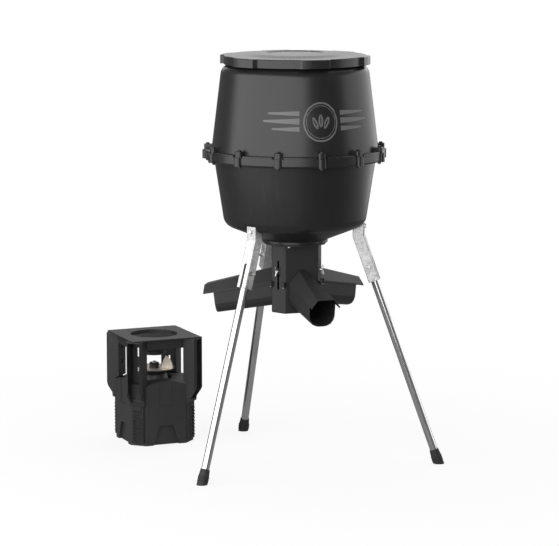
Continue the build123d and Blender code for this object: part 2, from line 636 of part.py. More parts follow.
def make_base_shell():
    """The vaulted housing: three recessed sides, a door opening behind and a well on top for the tower."""
    outer = prism(octagon(BASE_HALF, BASE_CORNER), BASE_FLOOR, 240) & vaults(VAULT_R)
    cavity = octagon(BASE_HALF - THIN, BASE_CORNER - THIN)
    inner = prism(cavity, BASE_FLOOR - 1, 240) & vaults(VAULT_R - THIN)
    for angle in PLAIN_SIDES:
        turn = Rot(0, 0, angle)
        outer = outer - turn * wedge_recess(0) - turn * strip_recess(0)
        inner = inner - turn * wedge_recess(THIN) - turn * strip_recess(THIN)
    outer -= rod(WELL_R, WELL_Z, 260)
    inner -= rod(WELL_R + THIN, WELL_Z - THIN, 260)
    shell = outer - inner
    shell -= rod(9, WELL_Z - 10, WELL_Z + 1)
    shell -= block(-DOOR_X, DOOR_X, BASE_HALF - 10, BASE_HALF + 5, DOOR_LOW + 6, DOOR_HIGH - 6)
    for angle in DIAGONALS.values():
        for y in (-CAGE_SCREW_Y, CAGE_SCREW_Y):
            hole = Pos(BASE_CORNER, y, CAGE_SCREW_Z) * Rot(0, 90, 0) * Cylinder(2.6, 30)
            shell -= Rot(0, 0, angle) * hole
        boss = Pos(118, 0, 0) * (rod(7, BASE_FLOOR, 60) - rod(2.6, BASE_FLOOR - 1, 24))
        shell += Rot(0, 0, angle) * boss
    knuckle = Pos(-DOOR_X - 12, BASE_HALF + 5, 0) * (rod(4.5, 44, 60) + rod(4.5, 98, 114))
    arm = block(-DOOR_X - 15, -DOOR_X - 9, BASE_HALF - 1, BASE_HALF + 5, 44, 60)
    arm += block(-DOOR_X - 15, -DOOR_X - 9, BASE_HALF - 1, BASE_HALF + 5, 98, 114)
    shell = shell + knuckle + arm
    return shell - Pos(-DOOR_X - 12, BASE_HALF + 5, 0) * rod(1.6, 30, 130)


def make_base_plate():
    """The floor of the base, screwed up into the corner bosses."""
    plate = prism(octagon(BASE_HALF, BASE_CORNER), 0, BASE_FLOOR)
    for angle in PLAIN_SIDES:
        plate -= Rot(0, 0, angle) * wedge_recess(0)
    plate = plate - around(DIAGONALS.values(), Pos(118, 0, 0) * Cylinder(2.6, 20))
    return plate - around(DIAGONALS.values(), Pos(118, 0, 0) * rod(5, -1, 2.2))


def make_base_screws():
    screw = Pos(118, 0, 0) * turned((0, 0.4), (4.4, 0.4), (4.4, 2.2), (2.5, 2.2), (2.5, 20), (0, 20))
    return around(DIAGONALS.values(), screw)


def make_corner_pad():
    """A ribbed bumper at angle 0: a smooth cap over a column of ribs between two side rails."""
    back, half = BASE_CORNER, 27
    rails = outline((back, -half), (PAD_OUT - 3, -half + 5, 3), (PAD_OUT - 3, half - 5, 3), (back, half))
    cap = outline((back + 4, -18), (PAD_OUT, -15, 3), (PAD_OUT, 15, 3), (back + 4, 18))
    pad = prism(rails, PAD_LOW, PAD_HIGH) + prism(cap, PAD_HIGH - 16, PAD_HIGH - 3)
    pad -= block(PAD_OUT - 5.5, PAD_OUT + 5, -13, 13, PAD_LOW + 6, PAD_HIGH - 18)
    rib_count, rib_tall = 9, 5.5
    pitch = (PAD_HIGH - 18 - PAD_LOW - 6) / rib_count
    for i in range(rib_count):
        low = PAD_LOW + 6 + (i + 0.5) * pitch - rib_tall / 2
        high, root = low + rib_tall, PAD_OUT - 6
        pad += side_prism(19, (root, low), (PAD_OUT, low + 1.2), (PAD_OUT, high - 1.2), (root, high))
    return pad


# ---------------------------------------------------------------- spin cast unit: drive
def make_motor_tower():
    """The domed cover in the well that the motor hangs from."""
    brim = [(WELL_R - 0.5, WELL_Z), (WELL_R - 0.5, WELL_Z + 5), (52, WELL_Z + 6)]
    outer = turned((0, WELL_Z), *brim, (42, WELL_Z + 34, 10), (0, WELL_Z + 36))
    inner = turned((0, WELL_Z - 1), (46, WELL_Z - 1), (38.5, WELL_Z + 31, 8), (0, WELL_Z + 33))
    return outer - inner - rod(6, WELL_Z, WELL_Z + 50)


def make_motor():
    """A can motor with its front boss up through the well's floor."""
    low, top = WELL_Z - THIN - 55, WELL_Z - THIN
    tail, boss = [(0, low - 4), (6, low - 4), (6, low)], [(8.5, top), (8.5, top + 8), (0, top + 8)]
    can = turned(*tail, (19, low, 3), (19, top), *boss)
    return can - rod(3 + RUN, low - 1, top + 9)


def make_motor_shaft():
    return rod(3, WELL_Z - THIN - 54, DISC_Z + 27)


def make_spinner_plate():
    """The disc that throws the feed, with a rolled edge."""
    face, edge = DISC_Z + 1.5, DISC_Z + 3.5
    rim = [(DISC_R - 2, DISC_Z), (DISC_R, edge), (DISC_R - 1.6, edge), (DISC_R - 3, face)]
    disc = turned((3, DISC_Z), *rim, (3, face))
    for angle in (SPINNER_TURN, SPINNER_TURN + 180):
        disc -= Rot(0, 0, angle) * Pos(50, 6, DISC_Z) * Cylinder(2.2, 10)
        disc -= Rot(0, 0, angle) * Pos(34, 6, DISC_Z) * Cylinder(2.2, 10)
    return disc


def make_spinner_vanes():
    """Two upright fins with folded feet, riveted to the disc."""
    top = DISC_Z + 1.5
    fin = [(24, top), (66, top), (67, top + 10), (63, top + 24), (55, top + 36)]
    fin += [(43, top + 46, 2), (34, top + 30, 14)]
    fins = extrude(Plane.XZ * outline(*fin), 0.8, both=True)
    foot = block(26, 60, 0, 11, top, top + 1.5)
    rivets = Pos(50, 6, top) * rod(2.2, -3, 0) + Pos(34, 6, top) * rod(2.2, -3, 0)
    heads = Pos(50, 6, top + 1.5) * rod(3.6, 0, 1.4) + Pos(34, 6, top + 1.5) * rod(3.6, 0, 1.4)
    vane = fins + foot + rivets + heads
    return around([SPINNER_TURN, SPINNER_TURN + 180], vane)


def make_spinner_hub():
    """The clamping hub on the shaft: a grooved collar with a set-screw boss."""
    low = DISC_Z + 1.5
    hub = turned((3, low), (17, low, 1), (17, low + 20, 2), (3, low + 20))
    for angle in range(0, 360, 30):
        hub -= Rot(0, 0, angle) * Pos(18.2, 0, low + 11) * Cylinder(2.4, 22)
    under = turned((3, DISC_Z - 8), (9, DISC_Z - 8), (9, DISC_Z), (3, DISC_Z))
    return [hub, under]


def make_hub_nut():
    low = DISC_Z + 21.5
    return hexagon_bar(10, low, low + 5) - rod(3, low - 1, low + 6)


# ---------------------------------------------------------------- spin cast unit: power and control
def make_battery():
    """A sealed six-volt block standing on the floor at the front."""
    case = block(-50, 50, -70, -22, BASE_FLOOR, 98)
    case = fillet(case.edges().filter_by(Axis.Z), 3)
    lid = block(-47, 47, -67, -25, 98, 101)
    return case + lid


def make_battery_terminals():
    return [Pos(x, -46, 104.5) * Box(6.3, 1, 7) for x in (-36, 36)]


def make_control_case():
    """The timer's housing: a shallow open-backed case with a display window and key holes."""
    case = block(-44, 44, PANEL_Y - 26, PANEL_Y, 40, 118)
    case = fillet(case.edges().filter_by(Axis.Y), 5)
    case -= block(-42, 42, PANEL_Y - 30, PANEL_Y - 2, 42, 116)
    case -= block(-31, 11, PANEL_Y - 5, PANEL_Y + 1, 84, 108)
    for x in BUTTON_X:
        case -= Pos(x, PANEL_Y, BUTTON_Z) * Rot(90, 0, 0) * Cylinder(BUTTON_R + GAP, 20)
    return case - block(ROCKER_X - 8, ROCKER_X + 8, PANEL_Y - 5, PANEL_Y + 1, ROCKER_Z - 11, ROCKER_Z + 11)


def make_circuit_board():
    board = block(-41, 41, PANEL_Y - 18, PANEL_Y - 16.4, 43, 115)
    face = PANEL_Y - 16.4
    return board + block(-30, -14, face, face + 2.4, 50, 56) + block(2, 12, face, face + 3.4, 48, 54)


def make_display():
    return block(-31, 11, PANEL_Y - 4, PANEL_Y - 0.8, 84, 108)


def make_button(x):
    """A round key with a stem behind it."""
    key = turned((0, -7), (2.5, -7), (2.5, -3), (BUTTON_R, -3), (BUTTON_R, 2.2, 0.8), (0, 2.6))
    return Pos(x, PANEL_Y, BUTTON_Z) * Rot(-90, 0, 0) * key


def make_power_switch():
    """A rocker on a cross pin."""
    face, reach = PANEL_Y + 2.6, 9.3
    side = [(PANEL_Y - 4, ROCKER_Z - 6), (face - 1.5, ROCKER_Z - reach), (face, ROCKER_Z)]
    side += [(face + 1.5, ROCKER_Z + reach), (PANEL_Y - 4, ROCKER_Z + 6)]
    return Pos(ROCKER_X, 0, 0) * side_prism_x(7, *side)


def side_prism_x(half_width, *corners):
    """An outline in the (y, z) plane pulled out by half_width to each side along X."""
    return extrude(Plane.YZ * outline(*corners), half_width, both=True)


def make_door():
    """The service door on the back, with its hinge barrel, raised rim and finger lip."""
    low, high = BASE_HALF + GAP, BASE_HALF + GAP + 3.5
    door = block(-DOOR_X - 6, DOOR_X + 6, low, high, DOOR_LOW, DOOR_HIGH)
    door = fillet(door.edges().filter_by(Axis.Y), 6)
    door += block(-DOOR_X + 8, DOOR_X - 22, high - 1, high + 1.5, DOOR_LOW + 14, DOOR_HIGH - 14)
    barrel = Pos(-DOOR_X - 12, BASE_HALF + 5, 0) * rod(4.5, 60.5, 97.5)
    strap = block(-DOOR_X - 12, -DOOR_X - 2, low + 0.6, high, 60.5, 97.5)
    door = door + barrel + strap
    door -= Pos(-DOOR_X - 12, BASE_HALF + 5, 0) * rod(1.5 + RUN, 40, 120)
    return door - Pos(LATCH_X, BASE_HALF, LATCH_Z) * Rot(90, 0, 0) * Cylinder(4 + RUN, 30)


def make_hinge_pin():
    return Pos(-DOOR_X - 12, BASE_HALF + 5, 0) * (rod(1.5, 40, 118) + rod(3, 114.3, 116))


def make_door_latch():
    """A quarter-turn knob, open as it stands, whose upright inner cam turns in behind the door frame."""
    face = BASE_HALF + GAP + 3.5
    knob = turned((0, 0.3), (10, 0.3), (10, 4, 1), (0, 4))
    grip = block(-2.2, 2.2, -9, 9, 3.5, 9)
    knob = Pos(LATCH_X, face, LATCH_Z) * Rot(-90, 0, 0) * (knob + grip)
    shaft = Pos(LATCH_X, 0, LATCH_Z) * Rot(-90, 0, 0) * rod(4, BASE_HALF - THIN - 4.5, face + 1)
    wall = BASE_HALF - THIN
    cam = block(LATCH_X - 4, LATCH_X + 4, wall - 4.5, wall - 1, LATCH_Z - 4, LATCH_Z + 16)
    return knob + shaft + cam


def lead(points):
    """A wire swept along straight runs joined by tangent arcs, each as large as its two runs allow."""
    radii = []
    for before, here, after in zip(points, points[1:], points[2:]):
        one, two = Vector(*here) - Vector(*before), Vector(*after) - Vector(*here)
        turn = math.radians(one.get_angle(two))
        radii.append(0.45 * min(one.length, two.length) / math.tan(turn / 2))
    print("lead arcs, mm:", [round(radius, 1) for radius in radii])
    path = FilletPolyline(*points, radius=radii)
    section_plane = Plane(path @ 0, z_dir=path % 0)
    return sweep(section_plane * Circle(1.6), path=path)


def make_battery_lead():
    """From the battery's terminal to the back of the circuit board."""
    start = [(36, -45.5, 104.5), (36, -27, 104.5), (33, -8, 112), (28, 14, 112)]
    return lead(start + [(24, 38, 100), (21, 54, 85), (20, 70, 79), (20, PANEL_Y - 18, 79)])


def make_motor_lead():
    """From the circuit board up to the motor's tail."""
    start = [(-20, PANEL_Y - 18, 84), (-20, 66, 84), (-19, 46, 92), (-17, 28, 107)]
    return lead(start + [(-13, 15, 123), (-10, 8, 137), (-10, 8, 148)])


# ---------------------------------------------------------------- the whole object
def compound(solids):
    """Several separate solids as one node."""
    return Compound(children=list(solids))


def feeder_nodes():
    bolts, nuts = make_flange_fasteners()
    nodes = {
        "lid": make_lid(),
        "lid_seal": make_lid_seal(),
        "hopper_upper": make_hopper_upper(),
        "hopper_lower": make_hopper_lower(),
        "flange_bolts": compound(bolts + nuts),
        "bracket_bolts": compound(make_bracket_bolts()),
        "leg_bolts": compound(make_leg_bolts()),
        "head_tube": make_head_tube(),
        "head_bowl": make_head_bowl(),
        "chute_hoods": compound([make_chute_hood(angle) for angle in CHUTE_ANGLES]),
        "chute_troughs": compound([make_chute_trough(angle) for angle in CHUTE_ANGLES]),
        "head_screws": compound(make_head_screws()),
        "head_bolts": compound(make_head_bolts()),
        "diverter_cone": make_diverter(),
        "flow_sleeve": make_flow_sleeve(),
        "flow_wing_nuts": compound(make_flow_wing_nuts()),
    }
    bracket, leg, foot = make_leg_bracket(), make_leg(), make_foot()
    for name, angle in LEG_NAMES.items():
        nodes[f"leg_bracket_{name}"] = Rot(0, 0, angle) * bracket
        nodes[f"leg_{name}"] = Rot(0, 0, angle) * leg
        nodes[f"foot_{name}"] = Rot(0, 0, angle) * foot
    return nodes


def caster_nodes():
    nodes = {
        "top_plate": make_top_plate(),
        "throat_funnel": make_throat_funnel(),
        "cage_screws": compound(make_cage_screws()),
        "base_shell": make_base_shell(),
        "base_plate": make_base_plate(),
        "base_screws": compound(make_base_screws()),
        "motor_tower": make_motor_tower(),
        "motor": make_motor(),
        "motor_shaft": make_motor_shaft(),
        "spinner_plate": make_spinner_plate(),
        "spinner_vanes": compound(make_spinner_vanes()),
        "spinner_hub": compound(make_spinner_hub()),
        "hub_nut": make_hub_nut(),
        "battery": make_battery(),
        "battery_terminals": compound(make_battery_terminals()),
        "control_case": make_control_case(),
        "circuit_board": make_circuit_board(),
        "display": make_display(),
        "power_switch": make_power_switch(),
        "door": make_door(),
        "door_hinge_pin": make_hinge_pin(),
        "door_latch": make_door_latch(),
        "battery_lead": make_battery_lead(),
        "motor_lead": make_motor_lead(),
    }
    post, pad = make_post(), make_corner_pad()
    for name, angle in DIAGONALS.items():
        nodes[f"post_{name}"] = Rot(0, 0, angle) * post
        nodes[f"corner_pad_{name}"] = Rot(0, 0, angle) * pad
    for name, x in zip(("set", "down", "up"), BUTTON_X):
        nodes[f"button_{name}"] = make_button(x)
    return nodes


def main():
    os.makedirs("parts", exist_ok=True)
    feeder_place = Pos(*FEEDER_AXIS, 0) * Rot(0, 0, FEEDER_TURN)
    placed = [(feeder_place, feeder_nodes()), (Pos(*CASTER_AXIS, 0), caster_nodes())]
    for place, nodes in placed:
        for name, shape in nodes.items():
            export_step(place * shape, f"parts/{name}.step")


main()
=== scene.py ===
"""Looks for a tripod game feeder and the spin cast unit that stands beside it.

Everything is in metres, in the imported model's own frame: +Z up, the ground at z = 0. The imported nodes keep
their shape. This file gives them their finishes, adds the printed and fitted detail, and lights them.
"""

from __future__ import annotations

import json
import logging
import math
from dataclasses import dataclass
from enum import Enum

import bpy
from mathutils import Matrix, Vector

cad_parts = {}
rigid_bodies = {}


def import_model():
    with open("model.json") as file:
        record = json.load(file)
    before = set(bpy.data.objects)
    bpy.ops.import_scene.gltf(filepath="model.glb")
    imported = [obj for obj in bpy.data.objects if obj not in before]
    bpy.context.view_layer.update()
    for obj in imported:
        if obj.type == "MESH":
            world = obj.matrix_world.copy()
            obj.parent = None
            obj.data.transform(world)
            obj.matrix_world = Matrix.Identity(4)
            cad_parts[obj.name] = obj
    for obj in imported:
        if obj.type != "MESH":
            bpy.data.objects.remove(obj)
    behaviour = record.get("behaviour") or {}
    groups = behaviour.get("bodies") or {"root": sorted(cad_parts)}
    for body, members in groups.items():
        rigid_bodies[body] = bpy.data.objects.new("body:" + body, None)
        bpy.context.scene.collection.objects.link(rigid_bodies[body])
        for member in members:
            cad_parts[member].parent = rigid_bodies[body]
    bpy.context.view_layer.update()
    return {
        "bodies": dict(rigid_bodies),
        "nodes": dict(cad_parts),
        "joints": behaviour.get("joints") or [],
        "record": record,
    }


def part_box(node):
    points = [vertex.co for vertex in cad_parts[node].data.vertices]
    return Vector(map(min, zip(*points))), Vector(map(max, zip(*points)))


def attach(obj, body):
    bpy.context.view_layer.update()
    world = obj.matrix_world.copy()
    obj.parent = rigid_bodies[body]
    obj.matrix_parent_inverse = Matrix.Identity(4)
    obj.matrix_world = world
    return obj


LOG = logging.getLogger("feeder")
Colour = tuple[float, float, float]


class Turn(Enum):
    """The three legs, by where each stands, and the angle from +X that it points along."""

    RIGHT = ("right", -31.5)
    REAR = ("rear", 88.5)
    LEFT = ("left", -151.5)


class Corner(Enum):
    """The spin cast unit's corners and the diagonal that each one points along."""

    BACK_RIGHT = ("back_right", 45.0)
    BACK_LEFT = ("back_left", 135.0)
    FRONT_LEFT = ("front_left", -135.0)
    FRONT_RIGHT = ("front_right", -45.0)


# ------------------------------------------------------------------ shader maths
class Signal:
    """A number that changes over a surface: arithmetic on it adds the Math nodes."""

    def __init__(self, sheet: Sheet, socket: bpy.types.NodeSocket) -> None:
        """Keeps the node sheet that the number is worked out on, and its socket."""
        self.sheet = sheet
        self.socket = socket

    def _maths(self, operation: str, *values: float | Signal) -> Signal:
        """Adds one Math node.

        Args:
            operation: the node's operation, such as "ADD".
            values: its inputs in order, numbers or signals.

        Returns:
            The node's result.
        """
        node = self.sheet.add("ShaderNodeMath", {"operation": operation}, dict(enumerate(values)))
        return Signal(self.sheet, node.outputs[0])

    def __add__(self, other: float | Signal) -> Signal:
        """Adds."""
        return self._maths("ADD", self, other)

    def __radd__(self, other: float) -> Signal:
        """Adds, from the right."""
        return self._maths("ADD", other, self)

    def __sub__(self, other: float | Signal) -> Signal:
        """Takes away."""
        return self._maths("SUBTRACT", self, other)

    def __rsub__(self, other: float) -> Signal:
        """Takes this from a number."""
        return self._maths("SUBTRACT", other, self)

    def __mul__(self, other: float | Signal) -> Signal:
        """Multiplies."""
        return self._maths("MULTIPLY", self, other)

    def __rmul__(self, other: float) -> Signal:
        """Multiplies, from the right."""
        return self._maths("MULTIPLY", other, self)

    def __pow__(self, other: float) -> Signal:
        """Raises to a power."""
        return self._maths("POWER", self, other)

    def over(self, limit: float) -> Signal:
        """One where the number is over a limit, and nought elsewhere."""
        return self._maths("GREATER_THAN", self, limit)

    def between(self, low: float, high: float) -> Signal:
        """Stretches the range from low to high over nought to one, and clamps it there.

        Args:
            low: the value that becomes nought.
            high: the value that becomes one.

        Returns:
            The stretched signal.
        """
        inputs = {"Value": self, "From Min": low, "From Max": high, "To Min": 0.0, "To Max": 1.0}
        node = self.sheet.add("ShaderNodeMapRange", {"clamp": True}, inputs)
        return Signal(self.sheet, node.outputs[0])


class Sheet:
    """One material's node sheet, with its surface shader ready to be fed."""

    def __init__(self, name: str) -> None:
        """Starts a material of that name with a Principled shader on its surface.

        Args:
            name: the material's name.
        """
        self.material = bpy.data.materials.new(name)
        self.material.use_nodes = True
        self.tree = self.material.node_tree
        self.tree.nodes.clear()
        self.shader = self.add("ShaderNodeBsdfPrincipled")
        self.output = self.add("ShaderNodeOutputMaterial", {}, {"Surface": self.shader.outputs[0]})
        self.place = self.add("ShaderNodeTexCoord").outputs["Object"]

    def add(self, kind: str, settings: dict | None = None, inputs: dict | None = None) -> bpy.types.Node:
        """Adds any node.

        Args:
            kind: the node's type.
            settings: its own properties, set first; "stops" is a colour ramp's list of (place, colour).
            inputs: a number, colour, signal or socket for each input, by name or index.

        Returns:
            The node.
        """
        node = self.tree.nodes.new(kind)
        for key, value in (settings or {}).items():
            if key == "stops":
                self._fill_ramp(node.color_ramp, value)
            else:
                setattr(node, key, value)
        for key, value in (inputs or {}).items():
            source = value.socket if isinstance(value, Signal) else value
            if isinstance(source, bpy.types.NodeSocket):
                self.tree.links.new(source, node.inputs[key])
            else:
                node.inputs[key].default_value = source
        return node

    @staticmethod
    def _fill_ramp(ramp: bpy.types.ColorRamp, stops: list[tuple[float, Colour]]) -> None:
        """Sets a colour ramp's stops, which it starts with two of."""
        while len(ramp.elements) < len(stops):
            ramp.elements.new(0.5)
        for element, (place, colour) in zip(ramp.elements, stops):
            element.position = place
            element.color = (*colour, 1.0)

    def stretched(self, scale: Colour, turn: Matrix | None = None) -> bpy.types.NodeSocket:
        """The piece's own coordinates, turned and then stretched along each axis.

        Args:
            scale: how much each axis is stretched.
            turn: a turn to give them first, if any.

        Returns:
            A socket that holds the vector.
        """
        source = self.place
        if turn is not None:
            euler = turn.to_euler("XYZ")
            source = self.add(
                "ShaderNodeMapping", {}, {"Vector": source, "Rotation": tuple(euler)}
            ).outputs[0]
        node = self.add("ShaderNodeVectorMath", {"operation": "MULTIPLY"}, {0: source, 1: scale})
        return node.outputs[0]

    def noise(self, scale: float, detail: float = 3.0, place: bpy.types.NodeSocket | None = None) -> Signal:
        """Soft cloudy noise, with that many waves to the metre."""
        inputs = {"Vector": place or self.place, "Scale": scale, "Detail": detail}
        return Signal(self, self.add("ShaderNodeTexNoise", {}, inputs).outputs[0])

    def cells(self, scale: float, place: bpy.types.NodeSocket | None = None) -> Signal:
        """A random number for each cell of a crystal pattern.

        Args:
            scale: cells to the metre, roughly.
            place: coordinates other than the piece's own, if any.

        Returns:
            A signal between nought and one.
        """
        cell = self.add("ShaderNodeTexVoronoi", {}, {"Vector": place or self.place, "Scale": scale})
        parts = self.add("ShaderNodeSeparateColor", {}, {0: cell.outputs["Color"]})
        return Signal(self, parts.outputs[0])

    def pebbles(self, scale: float) -> Signal:
        """The distance to the middle of the nearest cell, for a grained mould.

        Args:
            scale: cells to the metre, roughly.

        Returns:
            The distance, as a signal.
        """
        inputs = {"Vector": self.place, "Scale": scale}
        node = self.add("ShaderNodeTexVoronoi", {"feature": "SMOOTH_F1"}, inputs)
        return Signal(self, node.outputs["Distance"])

    def axis(self, index: int) -> Signal:
        """One of the piece's own coordinates, 0 to 2."""
        return Signal(self, self.add("ShaderNodeSeparateXYZ", {}, {0: self.place}).outputs[index])

    def blend(self, share: float | Signal, low: Colour, high: Colour) -> bpy.types.NodeSocket:
        """A colour between two others."""
        inputs = {0: share, 6: (*low, 1.0), 7: (*high, 1.0)}
        return self.add("ShaderNodeMix", {"data_type": "RGBA"}, inputs).outputs[2]

    def bump(self, height: Signal, depth: float, edge: float = 0.0) -> bpy.types.NodeSocket:
        """A normal that follows a height, over edges softened by a small radius.

        Args:
            height: nought to one.
            depth: what one stands for, in metres.
            edge: the radius of the softened edges, in metres; nought leaves them sharp.

        Returns:
            The normal's socket.
        """
        inputs = {"Height": height, "Distance": depth, "Strength": 1.0}
        if edge:
            inputs["Normal"] = self.add("ShaderNodeBevel", {"samples": 4}, {"Radius": edge}).outputs[0]
        return self.add("ShaderNodeBump", {}, inputs).outputs[0]

    def surface(self, **inputs: float | Colour | Signal | bpy.types.NodeSocket) -> bpy.types.Material:
        """Feeds the surface shader by input name, with _ for a space, and hands the material back."""
        for key, value in inputs.items():
            socket = self.shader.inputs[key.replace("_", " ")]
            source = value.socket if isinstance(value, Signal) else value
            if isinstance(source, bpy.types.NodeSocket):
                self.tree.links.new(source, socket)
            else:
                socket.default_value = source
        return self.material


# ------------------------------------------------------------------ finishes
@dataclass(frozen=True)
class MouldedPlastic:
    """Moulded plastic with a fine grain, a little uneven in tone and shine."""

    name: str
    colour: Colour
    roughness: float = 0.42
    grain: float = 1100.0
    depth: float = 0.00002
    edge: float = 0.0008
    scuffs: float = 0.25

    def make(self) -> bpy.types.Material:
        """Builds the material.

        Returns:
            The material, ready to give to a piece.
        """
        sheet = Sheet(self.name)
        broad = sheet.noise(7.0, 4.0)
        grain = sheet.noise(self.grain, 2.0)
        scuff = sheet.noise(60.0, 5.0, sheet.stretched((1.0, 1.0, 0.18))).between(0.60, 0.78) * self.scuffs
        dark = tuple(part * 0.82 for part in self.colour)
        pale = tuple(part * 1.28 + 0.002 for part in self.colour)
        rough = broad * 0.10 + grain * 0.06 + scuff * 0.35 + (self.roughness - 0.08)
        return sheet.surface(
            Base_Color=sheet.blend(broad + scuff * 0.4, dark, pale),
            Roughness=rough,
            Normal=sheet.bump(grain, self.depth, self.edge),
        )


@dataclass(frozen=True)
class GrainedRubber:
    """Rubber or soft plastic with a pebbled mould face."""

    name: str
    colour: Colour
    roughness: float = 0.62
    pebble: float = 520.0
    depth: float = 0.00012

    def make(self) -> bpy.types.Material:
        """Builds the material.

        Returns:
            The material, ready to give to a piece.
        """
        sheet = Sheet(self.name)
        pebble = sheet.pebbles(self.pebble)
        broad = sheet.noise(24.0, 3.0)
        pale = tuple(part * 1.7 + 0.004 for part in self.colour)
        return sheet.surface(
            Base_Color=sheet.blend(broad * 0.6 + pebble * 0.4, self.colour, pale),
            Roughness=broad * 0.16 + (self.roughness - 0.08),
            Normal=sheet.bump(1.0 - pebble, self.depth, 0.0005),
        )


@dataclass(frozen=True)
class Galvanised:
    """Hot-dip zinc: a patchwork of pale crystals with cloudy oxide over it."""

    name: str
    dark: Colour = (0.36, 0.355, 0.36)
    pale: Colour = (0.80, 0.79, 0.78)
    crystal: float = 95.0

    def make(self) -> bpy.types.Material:
        """Builds the material.

        Returns:
            The material, ready to give to a piece.
        """
        sheet = Sheet(self.name)
        wobble = sheet.noise(120.0, 2.0)
        crystal = sheet.cells(self.crystal) * 0.55 + sheet.cells(self.crystal * 2.3) * 0.25
        cloud = sheet.noise(26.0, 4.0)
        tone = crystal * 0.75 + cloud * 0.45 + wobble * 0.12
        return sheet.surface(
            Base_Color=sheet.blend(tone.between(0.18, 0.95), self.dark, self.pale),
            Roughness=crystal * 0.16 + cloud * 0.18 + 0.30,
            Metallic=0.82,
            Normal=sheet.bump(crystal + wobble * 0.3, 0.00006, 0.0010),
        )


@dataclass(frozen=True)
class BrightTube:
    """Bright-plated tube with draw lines along its length."""

    name: str
    angle: float
    tilt: float = 19.6
    colour: Colour = (0.80, 0.80, 0.79)

    def make(self) -> bpy.types.Material:
        """Builds the material.

        Returns:
            The material, ready to give to a piece.
        """
        sheet = Sheet(self.name)
        level = (
            Matrix.Rotation(math.radians(self.tilt), 3, "Y")
            @ Matrix.Rotation(math.radians(-self.angle), 3, "Z")
        )
        along = sheet.stretched((1.0, 1.0, 0.012), level)
        lines = sheet.noise(900.0, 3.0, along)
        stains = sheet.noise(38.0, 5.0, sheet.stretched((1.0, 1.0, 0.35), level)).between(0.45, 0.75)
        dull = tuple(part * 0.62 for part in self.colour)
        return sheet.surface(
            Base_Color=sheet.blend(stains * 0.55 + lines * 0.25, self.colour, dull),
            Roughness=lines * 0.12 + stains * 0.16 + 0.10,
            Metallic=1.0,
            Normal=sheet.bump(lines, 0.00002),
        )


@dataclass(frozen=True)
class PlatedSteel:
    """Zinc-plated or drawn steel on small parts, with a faint cloud over the plating."""

    name: str
    colour: Colour = (0.70, 0.70, 0.68)
    roughness: float = 0.30
    edge: float = 0.0004

    def make(self) -> bpy.types.Material:
        """Builds the material.

        Returns:
            The material, ready to give to a piece.
        """
        sheet = Sheet(self.name)
        cloud = sheet.noise(240.0, 4.0)
        scratch = sheet.noise(1500.0, 2.0, sheet.stretched((1.0, 0.08, 1.0)))
        dull = tuple(part * 0.66 for part in self.colour)
        return sheet.surface(
            Base_Color=sheet.blend(cloud.between(0.35, 0.75), self.colour, dull),
            Roughness=cloud * 0.22 + scratch * 0.10 + (self.roughness - 0.14),
            Metallic=1.0,
            Normal=sheet.bump(scratch, 0.000012, self.edge),
        )


@dataclass(frozen=True)
class SpunSheet:
    """Passivated sheet metal with rings from the lathe about the spinner's axis."""

    name: str
    centre: tuple[float, float]
    colour: Colour = (0.74, 0.66, 0.55)

    def make(self) -> bpy.types.Material:
        """Builds the material.

        Returns:
            The material, ready to give to a piece.
        """
        sheet = Sheet(self.name)
        across = sheet.axis(0) - self.centre[0]
        deep = sheet.axis(1) - self.centre[1]
        radius = (across * across + deep * deep) ** 0.5
        ring = sheet.add("ShaderNodeCombineXYZ", {}, {0: radius, 2: sheet.axis(2)}).outputs[0]
        rings = sheet.noise(1300.0, 3.0, ring)
        cloud = sheet.noise(60.0, 4.0)
        grey = (0.60, 0.59, 0.57)
        return sheet.surface(
            Base_Color=sheet.blend(cloud.between(0.35, 0.8), self.colour, grey),
            Roughness=rings * 0.16 + cloud * 0.14 + 0.22,
            Metallic=0.9,
            Normal=sheet.bump(rings, 0.00002, 0.0003),
        )


@dataclass(frozen=True)
class CircuitLacquer:
    """Green board lacquer with copper runs showing under it."""

    name: str
    colour: Colour = (0.010, 0.085, 0.030)

    def make(self) -> bpy.types.Material:
        """Builds the material.

        Returns:
            The material, ready to give to a piece.
        """
        sheet = Sheet(self.name)
        runs = sheet.cells(210.0, sheet.stretched((1.0, 0.0, 0.18))).over(0.62)
        cross = sheet.cells(160.0, sheet.stretched((0.15, 0.0, 1.0))).over(0.74)
        cloud = sheet.noise(90.0, 2.0)
        return sheet.surface(
            Base_Color=sheet.blend(runs * 0.5 + cross * 0.3 + cloud * 0.1, self.colour, (0.05, 0.24, 0.08)),
            Roughness=cloud * 0.1 + 0.22,
            Normal=sheet.bump(runs + cross, 0.00004),
        )


@dataclass(frozen=True)
class WindowFilm:
    """The display's grey-green face under a hard clear coat."""

    name: str
    colour: Colour = (0.22, 0.26, 0.19)

    def make(self) -> bpy.types.Material:
        """Builds the material.

        Returns:
            The material, ready to give to a piece.
        """
        sheet = Sheet(self.name)
        weave = sheet.noise(2600.0, 1.0)
        pale = tuple(part * 1.25 for part in self.colour)
        return sheet.surface(
            Base_Color=sheet.blend(weave, self.colour, pale),
            Roughness=weave * 0.08 + 0.16,
            Coat_Weight=0.8,
            Coat_Roughness=0.04,
            Normal=sheet.bump(weave, 0.000004),
        )


